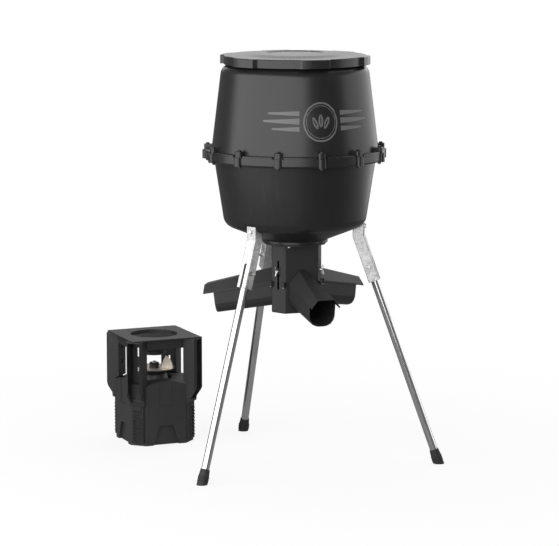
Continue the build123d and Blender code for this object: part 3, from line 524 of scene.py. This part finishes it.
@dataclass(frozen=True)
class PrintedInk:
    """A thin flat ink or paint mark, worn a little at the grain of what it is printed on."""

    name: str
    colour: Colour = (0.16, 0.16, 0.165)
    roughness: float = 0.46

    def make(self) -> bpy.types.Material:
        """Builds the material.

        Returns:
            The material, ready to give to a piece.
        """
        sheet = Sheet(self.name)
        wear = sheet.noise(420.0, 4.0).between(0.50, 0.80)
        cloud = sheet.noise(14.0, 2.0)
        worn = tuple(part * 0.55 for part in self.colour)
        return sheet.surface(
            Base_Color=sheet.blend(wear * 0.6 + cloud * 0.25, self.colour, worn),
            Roughness=cloud * 0.08 + wear * 0.1 + (self.roughness - 0.06),
            Normal=sheet.bump(sheet.noise(1100.0, 2.0), 0.000015),
        )


FEEDER_BLACK = MouldedPlastic("satin_black_drum_plastic", (0.0135, 0.0135, 0.0140), roughness=0.30)
LID_BLACK = MouldedPlastic("satin_black_lid_plastic", (0.0150, 0.0150, 0.0155), roughness=0.27)
HEAD_BLACK = MouldedPlastic("dark_grey_head_plastic", (0.0210, 0.0210, 0.0215), roughness=0.50, grain=900.0)
CAGE_BLACK = MouldedPlastic("black_cage_plastic", (0.0190, 0.0190, 0.0195), roughness=0.46, grain=1300.0)
BASE_BLACK = MouldedPlastic(
    "dark_grey_base_plastic", (0.0290, 0.0290, 0.0295), roughness=0.52, grain=1000.0, depth=0.00004
)
PAD_BLACK = GrainedRubber("black_pad_rubber", (0.010, 0.010, 0.010), roughness=0.50)
FOOT_BLACK = GrainedRubber("black_foot_rubber", (0.016, 0.016, 0.016))
SEAL_BLACK = GrainedRubber("black_seal_foam", (0.020, 0.020, 0.020), roughness=0.85, pebble=900.0)
KEY_GREY = GrainedRubber("grey_key_rubber", (0.10, 0.105, 0.11), roughness=0.58, pebble=1600.0, depth=0.00003)
PLATE_COAT = MouldedPlastic(
    "black_powder_coat", (0.018, 0.018, 0.0185), roughness=0.44, grain=1700.0, depth=0.00005
)
SOCKET_ZINC = Galvanised("mottled_galvanised_steel")
BOLT_ZINC = PlatedSteel("bright_zinc_fasteners")
BOLT_DARK = PlatedSteel("black_oxide_fasteners", (0.055, 0.055, 0.057), roughness=0.38)
MOTOR_STEEL = PlatedSteel("drawn_motor_can", (0.58, 0.58, 0.57), roughness=0.36)
BATTERY_GREY = MouldedPlastic("charcoal_battery_case", (0.040, 0.041, 0.045), roughness=0.48)
TERMINAL_BRASS = PlatedSteel("tinned_brass_tab", (0.78, 0.62, 0.34), roughness=0.32)
BOARD_GREEN = CircuitLacquer("green_board_lacquer")
WINDOW_GREEN = WindowFilm("display_face")
SWITCH_BLACK = MouldedPlastic(
    "gloss_black_rocker", (0.012, 0.012, 0.012), roughness=0.22, depth=0.000006, edge=0.0004
)
WIRE_RED = MouldedPlastic("red_wire_cover", (0.42, 0.022, 0.016), roughness=0.40, edge=0.0)
MARK_TURN = -95.0
MARK_GREY = PrintedInk("pale_grey_mark", (0.165, 0.165, 0.168))
MARK_WHITE = PrintedInk("white_panel_print", (0.62, 0.62, 0.60))
SEGMENT_INK = PrintedInk("dark_display_segment", (0.02, 0.022, 0.018), roughness=0.3)
LABEL_PAPER = PrintedInk("pale_battery_label", (0.55, 0.56, 0.54), roughness=0.4)
LABEL_BLUE = PrintedInk("blue_label_band", (0.03, 0.08, 0.22), roughness=0.4)


NARROW_TURNS, NARROW_R = (-34.1, 85.9, 205.9), 0.08699  # the hub's three narrow sides
LEG_TILT, BEND_R, BEND_Z = 19.6, 0.219, 0.783  # the legs' slope, and where each bends out from under the drum


# ------------------------------------------------------------------ the bench: modelling by hand, in code
Finish = (
    MouldedPlastic | GrainedRubber | Galvanised | BrightTube | PlatedSteel | SpunSheet | CircuitLacquer
    | WindowFilm | PrintedInk
)


class Bench:
    """Where pieces are made and dressed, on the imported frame."""

    def __init__(self, frame: dict) -> None:
        """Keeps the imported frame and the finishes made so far."""
        self.nodes: dict[str, bpy.types.Object] = frame["nodes"]
        self._made: dict[str, bpy.types.Material] = {}

    def material(self, finish: Finish) -> bpy.types.Material:
        """The material for a finish, made once."""
        if finish.name not in self._made:
            self._made[finish.name] = finish.make()
        return self._made[finish.name]

    def dress(self, finish: Finish, *names: str) -> None:
        """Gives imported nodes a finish."""
        for name in names:
            piece = self.nodes[name]
            piece.data.materials.clear()
            piece.data.materials.append(self.material(finish))
            LOG.info("dressed %s in %s", name, finish.name)

    def keep(self, name: str, finish: Finish, body: str, smooth: float = 32.0) -> bpy.types.Object:
        """Finishes the piece in hand: applies its placing and modifiers, dresses it and ties it to a body.

        Args:
            name: the piece's name.
            finish: what it is made of.
            body: the moving body it belongs to.
            smooth: the angle, in degrees, below which its edges are shaded round.

        Returns:
            The finished piece.
        """
        piece = bpy.context.object
        piece.name = name
        bpy.ops.object.transform_apply(location=True, rotation=True, scale=True)
        for modifier in list(piece.modifiers):
            bpy.ops.object.modifier_apply(modifier=modifier.name)
        bpy.ops.object.shade_smooth_by_angle(angle=math.radians(smooth))
        piece.data.materials.clear()
        piece.data.materials.append(self.material(finish))
        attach(piece, body)
        LOG.info("made %s on %s", name, body)
        return piece

    def soften(self, width: float, segments: int = 2) -> None:
        """Puts a bevel on the edges of the piece in hand, which must be at its true size.

        Args:
            width: the bevel's width, in metres.
            segments: how many steps round it.
        """
        bpy.ops.object.transform_apply(location=False, rotation=False, scale=True)
        bevel = bpy.context.object.modifiers.new("soften", "BEVEL")
        bevel.width = width
        bevel.segments = segments
        bevel.limit_method = "ANGLE"

    def bar(self, middle: Vector, size: Vector, soft: float, turn: Vector | None = None) -> bpy.types.Object:
        """A rounded block, in hand and not yet kept.

        Args:
            middle: where its middle is.
            size: its three sizes, before it is turned.
            soft: its edges' radius.
            turn: rotation about X, Y and Z in radians.

        Returns:
            The block.
        """
        bpy.ops.mesh.primitive_cube_add(size=1.0, location=middle, rotation=turn or Vector())
        piece = bpy.context.object
        piece.scale = size
        self.soften(soft)
        return piece

    def disc(
        self, middle: Vector, radius: float, tall: float, soft: float,
        turn: Vector | None = None, sides: int = 40
    ) -> bpy.types.Object:
        """A turned button with a sunk face, in hand and not yet kept.

        Args:
            middle: where its middle is.
            radius: its radius.
            tall: its height.
            soft: its edges' radius.
            turn: rotation about X, Y and Z in radians.
            sides: how many sides its outline has.

        Returns:
            The button.
        """
        bpy.ops.mesh.primitive_cylinder_add(
            vertices=sides, radius=radius, depth=tall, location=middle, rotation=turn or Vector()
        )
        piece = bpy.context.object
        bpy.ops.object.mode_set(mode="EDIT")
        bpy.ops.mesh.select_mode(type="FACE")
        bpy.ops.mesh.select_all(action="DESELECT")
        bpy.ops.object.mode_set(mode="OBJECT")
        top = max(piece.data.polygons, key=lambda face: face.center.z)
        top.select = True
        bpy.ops.object.mode_set(mode="EDIT")
        bpy.ops.mesh.inset(thickness=radius * 0.28)
        bpy.ops.transform.translate(value=(0.0, 0.0, -tall * 0.18), orient_type="LOCAL")
        bpy.ops.object.mode_set(mode="OBJECT")
        self.soften(soft)
        return piece

    def weld(self, pieces: list[bpy.types.Object]) -> bpy.types.Object:
        """Joins several pieces in hand into one, with their placing and modifiers applied first.

        Args:
            pieces: the pieces to join.

        Returns:
            The joined piece.
        """
        for piece in pieces:
            bpy.ops.object.select_all(action="DESELECT")
            piece.select_set(True)
            bpy.context.view_layer.objects.active = piece
            bpy.ops.object.transform_apply(location=True, rotation=True, scale=True)
            for modifier in list(piece.modifiers):
                bpy.ops.object.modifier_apply(modifier=modifier.name)
        for piece in pieces:
            piece.select_set(True)
        bpy.context.view_layer.objects.active = pieces[0]
        bpy.ops.object.join()
        return pieces[0]


# ------------------------------------------------------------------ sub-assemblies
@dataclass
class Hopper:
    """The two-part drum with its drop-on lid."""

    bench: Bench

    def dress(self) -> None:
        """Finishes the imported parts."""
        self.bench.dress(LID_BLACK, "lid")
        self.bench.dress(FEEDER_BLACK, "hopper_upper", "hopper_lower")
        self.bench.dress(SEAL_BLACK, "lid_seal")
        self.bench.dress(BOLT_DARK, "flange_bolts")
        self.bench.dress(BOLT_ZINC, "bracket_bolts")

    def __post_init__(self) -> None:
        """Finds the drum's axis."""
        low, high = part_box("lid")
        self.axis = Vector(((low.x + high.x) / 2, (low.y + high.y) / 2, 0.0))

    def _heading(self, angle: float) -> Vector:
        """The level direction at an angle from +X."""
        return Vector((math.cos(math.radians(angle)), math.sin(math.radians(angle)), 0.0))

    def _wrap(self, piece: bpy.types.Object, lift: float) -> None:
        """Lays a thin shape on the upper drum, standing off it by a hair.

        Args:
            piece: the shape to lay.
            lift: how far off the drum it stands, in metres.
        """
        wrap = piece.modifiers.new("lay on the drum", "SHRINKWRAP")
        wrap.target = self.bench.nodes["hopper_upper"]
        wrap.wrap_method = "NEAREST_SURFACEPOINT"
        wrap.wrap_mode = "ABOVE_SURFACE"
        wrap.offset = lift

    def _stripe(self, name: str, start: float, end: float, middle_z: float, near: float, far: float) -> None:
        """A printed stripe round the drum that tapers from one end to the other.

        Args:
            name: the piece's name.
            start: the angle of its wide end.
            end: the angle of its narrow end.
            middle_z: its middle's height.
            near: half its height at the wide end.
            far: half its height at the narrow end.
        """
        bpy.ops.mesh.primitive_cylinder_add(
            vertices=180, radius=0.300, depth=near * 2.0, end_fill_type="NOTHING",
            location=(self.axis.x, self.axis.y, middle_z)
        )
        piece = bpy.context.object
        bpy.ops.object.transform_apply(location=True, rotation=True, scale=True)
        side = math.copysign(1.0, end - start)
        across = 0.300 * math.radians(abs(end - start))
        slope = (near - far) / across
        tip = self._heading((start + end) / 2 + side * 90.0)
        cuts = [
            (Vector(), self._heading(start - side * 90.0)),
            (Vector(), self._heading(end + side * 90.0)),
            (
                self._heading(start) * 0.3 + Vector((0.0, 0.0, middle_z + near)),
                Vector((tip.x * slope, tip.y * slope, 1.0)),
            ),
            (
                self._heading(start) * 0.3 + Vector((0.0, 0.0, middle_z - near)),
                Vector((tip.x * slope, tip.y * slope, -1.0)),
            ),
        ]
        bpy.ops.object.mode_set(mode="EDIT")
        for place, normal in cuts:
            bpy.ops.mesh.select_all(action="SELECT")
            bpy.ops.mesh.bisect(plane_co=place + self.axis, plane_no=normal, clear_outer=True)
        bpy.ops.object.mode_set(mode="OBJECT")
        self._wrap(piece, 0.00025)
        self.bench.keep(name, MARK_GREY, "feeder", 60.0)

    def _facing(
        self, angle: float, z: float, sides: int, radius: float, aside: float = 0.0
    ) -> bpy.types.Object:
        """A flat filled outline just outside the drum, facing out.

        Args:
            angle: its heading round the drum, in degrees.
            z: its height.
            sides: how many sides it has.
            radius: its radius, in metres.
            aside: how far it moves along the drum's face, in metres.

        Returns:
            The flat outline.
        """
        out = self._heading(angle)
        place = self.axis + out * 0.292 + self._heading(angle + 90.0) * aside + Vector((0.0, 0.0, z))
        bpy.ops.mesh.primitive_circle_add(
            vertices=sides, radius=radius, fill_type="NGON", location=place,
            rotation=(math.pi / 2, 0.0, math.radians(angle + 90.0))
        )
        return bpy.context.object

    def _ring(self, name: str, angle: float, z: float, radius: float, band: float) -> None:
        """A printed ring on the drum.

        Args:
            name: the piece's name.
            angle: its heading round the drum, in degrees.
            z: its height.
            radius: its outer radius.
            band: how wide the ring is.
        """
        self._facing(angle, z, 72, radius)
        piece = bpy.context.object
        bpy.ops.object.mode_set(mode="EDIT")
        bpy.ops.mesh.select_mode(type="FACE")
        bpy.ops.mesh.select_all(action="SELECT")
        bpy.ops.mesh.inset(thickness=band)
        bpy.ops.mesh.delete(type="FACE")
        bpy.ops.object.mode_set(mode="OBJECT")
        self._wrap(piece, 0.00025)
        self.bench.keep(name, MARK_GREY, "feeder", 60.0)

    def _kernel(self, angle: float, z: float, aside: float, lean: float) -> bpy.types.Object:
        """One grain kernel: a leaning oval with its crease left bare.

        Args:
            angle: its heading round the drum, in degrees.
            z: its height.
            aside: how far it moves along the drum's face, in metres.
            lean: how far it leans, in degrees.

        Returns:
            The kernel's outline.
        """
        piece = self._facing(angle, z, 28, 0.0125, aside)
        piece.scale = (0.62, 1.75, 1.0)
        piece.rotation_euler.rotate_axis("Z", math.radians(lean))
        bpy.ops.object.transform_apply(location=False, rotation=False, scale=True)
        bpy.ops.object.mode_set(mode="EDIT")
        bpy.ops.mesh.select_all(action="SELECT")
        bpy.ops.mesh.inset(thickness=0.0042)
        bpy.ops.mesh.inset(thickness=0.0012)
        bpy.ops.mesh.delete(type="FACE")
        bpy.ops.object.mode_set(mode="OBJECT")
        return piece

    def detail(self) -> None:
        """Prints the plain grain mark on the drum: a ring of three kernels between tapering stripes."""
        middle, z = MARK_TURN, 1.192
        self._ring("mark_ring_outer", middle, z, 0.066, 0.0055)
        self._ring("mark_ring_inner", middle, z, 0.055, 0.0018)
        leans = ((-0.021, 24.0), (0.0, 0.0), (0.021, -24.0))
        kernels = [self._kernel(middle, z + 0.004 - abs(aside) * 0.35, aside, lean) for aside, lean in leans]
        piece = self.bench.weld(kernels)
        self._wrap(piece, 0.00025)
        self.bench.keep("mark_kernels", MARK_GREY, "feeder", 60.0)
        for row, (lift, near, far, reach) in enumerate(
            ((0.030, 0.008, 0.0025, 38.0), (0.004, 0.010, 0.003, 41.5), (-0.022, 0.008, 0.0025, 35.0))
        ):
            for side, word in ((-1.0, "left"), (1.0, "right")):
                start = middle + side * 15.5
                self._stripe(
                    f"mark_stripe_{word}_{row + 1}", start, middle + side * reach, z + lift, near, far
                )


@dataclass
class Tripod:
    """Three sockets, tubes and feet."""

    bench: Bench

    def dress(self) -> None:
        """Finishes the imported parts."""
        for turn in Turn:
            name, angle = turn.value
            self.bench.dress(SOCKET_ZINC, f"leg_bracket_{name}")
            self.bench.dress(BrightTube(f"bright_tube_{name}", angle), f"leg_{name}")
            self.bench.dress(FOOT_BLACK, f"foot_{name}")
        self.bench.dress(BOLT_ZINC, "leg_bolts")

    def detail(self) -> None:
        """Rolls two tread rings round every foot cap."""
        low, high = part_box("lid")
        axis = Vector(((low.x + high.x) / 2, (low.y + high.y) / 2, 0.0))
        tilt = math.radians(LEG_TILT)
        long = BEND_Z / math.cos(tilt)
        for turn in Turn:
            name, angle = turn.value
            heading = math.radians(angle)
            out = Vector((math.cos(heading), math.sin(heading), 0.0))
            rings = []
            for back in (0.012, 0.019, 0.026):
                along = long - back
                place = axis + out * (BEND_R + along * math.sin(tilt)) + Vector(
                    (0.0, 0.0, BEND_Z - along * math.cos(tilt))
                )
                bpy.ops.mesh.primitive_torus_add(
                    major_segments=48, minor_segments=10, major_radius=0.018, minor_radius=0.0016,
                    location=place,
                    rotation=(0.0, -tilt, heading),
                )
                rings.append(bpy.context.object)
            self.bench.weld(rings)
            self.bench.keep(f"foot_tread_{name}", FOOT_BLACK, "feeder")


@dataclass
class GravityHead:
    """The six-sided hub with its three chutes and sliding feed collar."""

    bench: Bench

    def dress(self) -> None:
        """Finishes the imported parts."""
        self.bench.dress(
            HEAD_BLACK, "head_tube", "head_bowl", "chute_hoods", "chute_troughs", "diverter_cone",
            "flow_sleeve"
        )
        self.bench.dress(BOLT_ZINC, "head_screws", "head_bolts", "flow_wing_nuts")

    def detail(self) -> None:
        """Marks the feed settings beside each slot, on the narrow sides of the hub."""
        low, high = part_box("lid")
        axis = Vector(((low.x + high.x) / 2, (low.y + high.y) / 2, 0.0))
        for number, angle in enumerate(NARROW_TURNS):
            heading = math.radians(angle)
            out = Vector((math.cos(heading), math.sin(heading), 0.0))
            side = Vector((-math.sin(heading), math.cos(heading), 0.0))
            ticks = []
            for step in range(5):
                wide = 0.008 if step % 2 else 0.012
                place = axis + out * (NARROW_R + 0.0002) + side * (0.011 + wide / 2) + Vector(
                    (0.0, 0.0, 0.643 + step * 0.011)
                )
                turn = Vector((0.0, 0.0, heading))
                ticks.append(self.bench.bar(place, Vector((0.0010, wide, 0.0016)), 0.0003, turn))
            self.bench.weld(ticks)
            self.bench.keep(f"feed_scale_{number + 1}", HEAD_BLACK, "feeder")


@dataclass
class CasterUnit:
    """The spin cast unit: its cage, base, drive and timer."""

    bench: Bench

    def dress(self) -> None:
        """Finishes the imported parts."""
        bench = self.bench
        low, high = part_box("motor_shaft")
        centre = ((low.x + high.x) / 2, (low.y + high.y) / 2)
        bench.dress(PLATE_COAT, "top_plate")
        bench.dress(CAGE_BLACK, "throat_funnel", *(f"post_{corner.value[0]}" for corner in Corner))
        bench.dress(BASE_BLACK, "base_shell", "base_plate", "door", "motor_tower", "control_case")
        bench.dress(PAD_BLACK, *(f"corner_pad_{corner.value[0]}" for corner in Corner))
        bench.dress(SWITCH_BLACK, "door_latch", "power_switch", "spinner_hub")
        bench.dress(SpunSheet("warm_passivated_sheet", centre), "spinner_plate", "spinner_vanes")
        bench.dress(BOLT_DARK, "cage_screws", "base_screws")
        bench.dress(BOLT_ZINC, "door_hinge_pin", "hub_nut", "motor_shaft")
        bench.dress(MOTOR_STEEL, "motor")
        bench.dress(BATTERY_GREY, "battery")
        bench.dress(TERMINAL_BRASS, "battery_terminals")
        bench.dress(BOARD_GREEN, "circuit_board")
        bench.dress(WINDOW_GREEN, "display")
        bench.dress(KEY_GREY, "button_set", "button_down", "button_up")
        bench.dress(WIRE_RED, "battery_lead", "motor_lead")

    def _digit(self, corner: Vector, lit: str) -> list[bpy.types.Object]:
        """One seven-segment digit on the display.

        Args:
            corner: its lower left corner, seen from outside.
            lit: the letters a to g of its dark segments.

        Returns:
            Its segments.
        """
        wide, tall, thick = 0.0046, 0.0056, 0.0009
        level = {"a": 2.0, "g": 1.0, "d": 0.0}
        upright = {"f": (0.0, 1.5), "b": (1.0, 1.5), "e": (0.0, 0.5), "c": (1.0, 0.5)}
        made = []
        for letter in lit:
            if letter in level:
                place = corner + Vector((-wide / 2, 0.0, level[letter] * tall))
                made.append(self.bench.bar(place, Vector((wide - 0.0014, 0.0003, thick)), 0.0001))
            else:
                across, up = upright[letter]
                place = corner + Vector((-wide * across, 0.0, up * tall))
                made.append(self.bench.bar(place, Vector((thick, 0.0003, tall - 0.0014)), 0.0001))
        return made

    def detail(self) -> None:
        """Adds the display's figures, the panel's printed icons, and the battery's label and caps."""
        bench = self.bench
        low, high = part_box("display")
        face = high.y
        left = high.x - 0.0075
        digits = []
        for place, lit in enumerate(("bc", "abged", "abcdef", "abcdef")):
            digits += self._digit(
                Vector(
                    (left - place * 0.0078 - (0.003 if place > 1 else 0.0), face + 0.0001, low.z + 0.0062)
                ),
                lit
            )
        for up in (0.0102, 0.0144):
            digits.append(
                bench.bar(
                    Vector((left - 0.0145, face + 0.0001, low.z + up)), Vector((0.0009, 0.0003, 0.0009)),
                    0.0001
                )
            )
        bench.weld(digits)
        bench.keep("display_figures", SEGMENT_INK, "caster")

        case_low, case_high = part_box("control_case")
        marks = []
        middle = (low + high) / 2
        for side in (-1.0, 1.0):
            marks.append(
                bench.bar(
                    Vector((middle.x, case_high.y, middle.z + side * 0.0142)),
                    Vector((0.0452, 0.0004, 0.0007)), 0.0001
                )
            )
            marks.append(
                bench.bar(
                    Vector((middle.x + side * 0.0226, case_high.y, middle.z)),
                    Vector((0.0007, 0.0004, 0.0284)), 0.0001
                )
            )
        for name, turn, sides in (("button_set", 0.0, 4), ("button_down", 180.0, 3), ("button_up", 0.0, 3)):
            key_low, key_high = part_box(name)
            place = Vector(((key_low.x + key_high.x) / 2, case_high.y, key_high.z + 0.0060))
            rotation = (math.pi / 2, 0.0, math.pi)
            bpy.ops.mesh.primitive_circle_add(
                vertices=sides, radius=0.0026, fill_type="NGON", location=place, rotation=rotation
            )
            icon = bpy.context.object
            icon.rotation_euler.rotate_axis("Z", math.radians(turn))
            thick = icon.modifiers.new("ink", "SOLIDIFY")
            thick.thickness = 0.0003
            thick.offset = 0.0
            marks.append(icon)
        bench.weld(marks)
        bench.keep("panel_print", MARK_WHITE, "caster")

        low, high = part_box("battery")
        middle = (low + high) / 2
        caps = [
            bench.disc(
                Vector((middle.x + aside, middle.y + 0.004, high.z + 0.0012)), 0.0065, 0.0026, 0.0005
            ) for aside in (-0.018, 0.0, 0.018)
        ]
        bench.weld(caps)
        bench.keep("battery_vent_caps", BATTERY_GREY, "caster")
        bench.bar(
            Vector((middle.x, high.y + 0.0002, middle.z + 0.006)), Vector((0.074, 0.0006, 0.040)), 0.00025
        )
        bench.keep("battery_label", LABEL_PAPER, "caster")
        bands = [
            bench.bar(
                Vector((middle.x, high.y + 0.0006, middle.z + 0.006 + lift)), Vector((0.066, 0.0004, tall)),
                0.0001
            )
            for lift, tall in ((0.013, 0.006), (0.002, 0.0016), (-0.004, 0.0016), (-0.010, 0.0016))
        ]
        bench.weld(bands)
        bench.keep("battery_label_bands", LABEL_BLUE, "caster")


# ------------------------------------------------------------------ studio
@dataclass
class Studio:
    """A pale floor, a white surround, soft lights and the camera."""

    axis: Vector
    azimuth: float = -23.5
    distance: float = 9.0
    eye: float = 2.03
    aim: float = 0.648
    aside: float = -0.0507
    lens: float = 171.8

    def __post_init__(self) -> None:
        """Works out the directions towards the camera and to its right."""
        turn = math.radians(self.azimuth)
        self.towards = Vector((math.sin(turn), -math.cos(turn), 0.0))
        self.right = Vector((math.cos(turn), math.sin(turn), 0.0))

    def camera(self) -> None:
        """Sets up the camera."""
        data = bpy.data.cameras.new("camera")
        data.lens = self.lens
        data.sensor_width = 36.0
        data.clip_end = 200.0
        camera = bpy.data.objects.new("camera", data)
        bpy.context.scene.collection.objects.link(camera)
        eye = self.axis + self.towards * self.distance + Vector((0.0, 0.0, self.eye))
        target = self.axis + self.right * self.aside + Vector((0.0, 0.0, self.aim))
        camera.location = eye
        camera.rotation_euler = (target - eye).to_track_quat("-Z", "Y").to_euler()
        bpy.context.scene.camera = camera

    def softbox(
        self, name: str, swing: float, away: float, high: float, wide: float, tall: float, power: float
    ) -> None:
        """Hangs a rectangular light that faces the drum.

        Args:
            name: the light's name.
            swing: degrees round from the camera, to the right.
            away: how far from the axis, in metres.
            high: its middle's height.
            wide: its width.
            tall: its height from edge to edge.
            power: in watts.
        """
        data = bpy.data.lights.new(name, "AREA")
        data.shape = "RECTANGLE"
        data.size, data.size_y = wide, tall
        data.energy = power
        light = bpy.data.objects.new(name, data)
        bpy.context.scene.collection.objects.link(light)
        turn = math.radians(swing)
        light.location = self.axis + (self.towards * math.cos(turn) + self.right * math.sin(turn)) * away
        light.location.z = high
        aim = Vector((self.axis.x, self.axis.y, 0.75))
        light.rotation_euler = (aim - light.location).to_track_quat("-Z", "Y").to_euler()
        light.visible_camera = False

    def surround(self) -> None:
        """A surround that is white behind the feeder and dim in what it reflects."""
        world = bpy.data.worlds.new("studio")
        bpy.context.scene.world = world
        world.use_nodes = True
        tree = world.node_tree
        shade = tree.nodes["Background"]
        seen = tree.nodes.new("ShaderNodeLightPath").outputs["Is Camera Ray"]
        mix = tree.nodes.new("ShaderNodeMix")
        mix.data_type = "RGBA"
        mix.inputs[6].default_value = (0.16, 0.16, 0.165, 1.0)
        mix.inputs[7].default_value = (1.0, 1.0, 1.0, 1.0)
        tree.links.new(seen, mix.inputs[0])
        tree.links.new(mix.outputs[2], shade.inputs["Color"])

    def floor(self) -> None:
        """A round pale floor that fades into the surround."""
        bpy.ops.object.select_all(action="DESELECT")
        bpy.ops.mesh.primitive_circle_add(
            vertices=96, radius=30.0, fill_type="NGON", location=(self.axis.x, self.axis.y, -0.0005)
        )
        floor = bpy.context.object
        floor.name = "studio_floor"
        sheet = Sheet("pale_floor")
        across = sheet.axis(0)
        deep = sheet.axis(1)
        far = ((across * across + deep * deep) ** 0.5).between(0.6, 2.0) * 0.15 + 0.85
        cloud = sheet.noise(0.6, 2.0)
        sheet.surface(Base_Color=sheet.blend(cloud, (0.84, 0.84, 0.84), (0.88, 0.88, 0.88)), Roughness=0.9)
        white = sheet.add("ShaderNodeEmission", {}, {"Color": (1.0, 1.0, 1.0, 1.0)})
        grey = sheet.add("ShaderNodeEmission", {}, {"Color": (0.16, 0.16, 0.165, 1.0)})
        seen = sheet.add("ShaderNodeLightPath").outputs["Is Camera Ray"]
        edge = sheet.add("ShaderNodeMixShader", {}, {0: seen, 1: grey.outputs[0], 2: white.outputs[0]})
        whole = sheet.add("ShaderNodeMixShader", {}, {0: far, 1: sheet.shader.outputs[0], 2: edge.outputs[0]})
        sheet.tree.links.new(whole.outputs[0], sheet.output.inputs["Surface"])
        floor.data.materials.append(sheet.material)

    def light(self) -> None:
        """Hangs the lights: wide banks on the left and right, one behind the lid and one above."""
        self.softbox("left_bank", -41.0, 2.2, 1.45, 6.8, 2.6, 125.0)
        self.softbox("right_bank", 118.0, 2.6, 1.4, 4.7, 2.4, 40.0)
        self.softbox("lid_bank", 180.0, 3.2, 2.65, 3.6, 2.4, 26.0)
        self.softbox("top_bank", 160.0, 1.2, 4.0, 3.0, 3.0, 40.0)

    def build(self) -> None:
        """Sets the whole studio up."""
        self.camera()
        self.surround()
        self.floor()
        self.light()
        bpy.context.scene.view_settings.view_transform = "Standard"


def main() -> None:
    """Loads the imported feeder, dresses and details it, lights it and reports each step."""
    logging.basicConfig(level=logging.INFO, format="%(name)s: %(message)s")
    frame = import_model()
    bench = Bench(frame)
    low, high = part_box("hopper_upper")
    Studio(Vector(((low.x + high.x) / 2, (low.y + high.y) / 2, 0.0))).build()
    for assembly in (Hopper(bench), Tripod(bench), GravityHead(bench), CasterUnit(bench)):
        assembly.dress()
        assembly.detail()
        LOG.info("%s done", type(assembly).__name__)


if __name__ == "__main__":
    main()
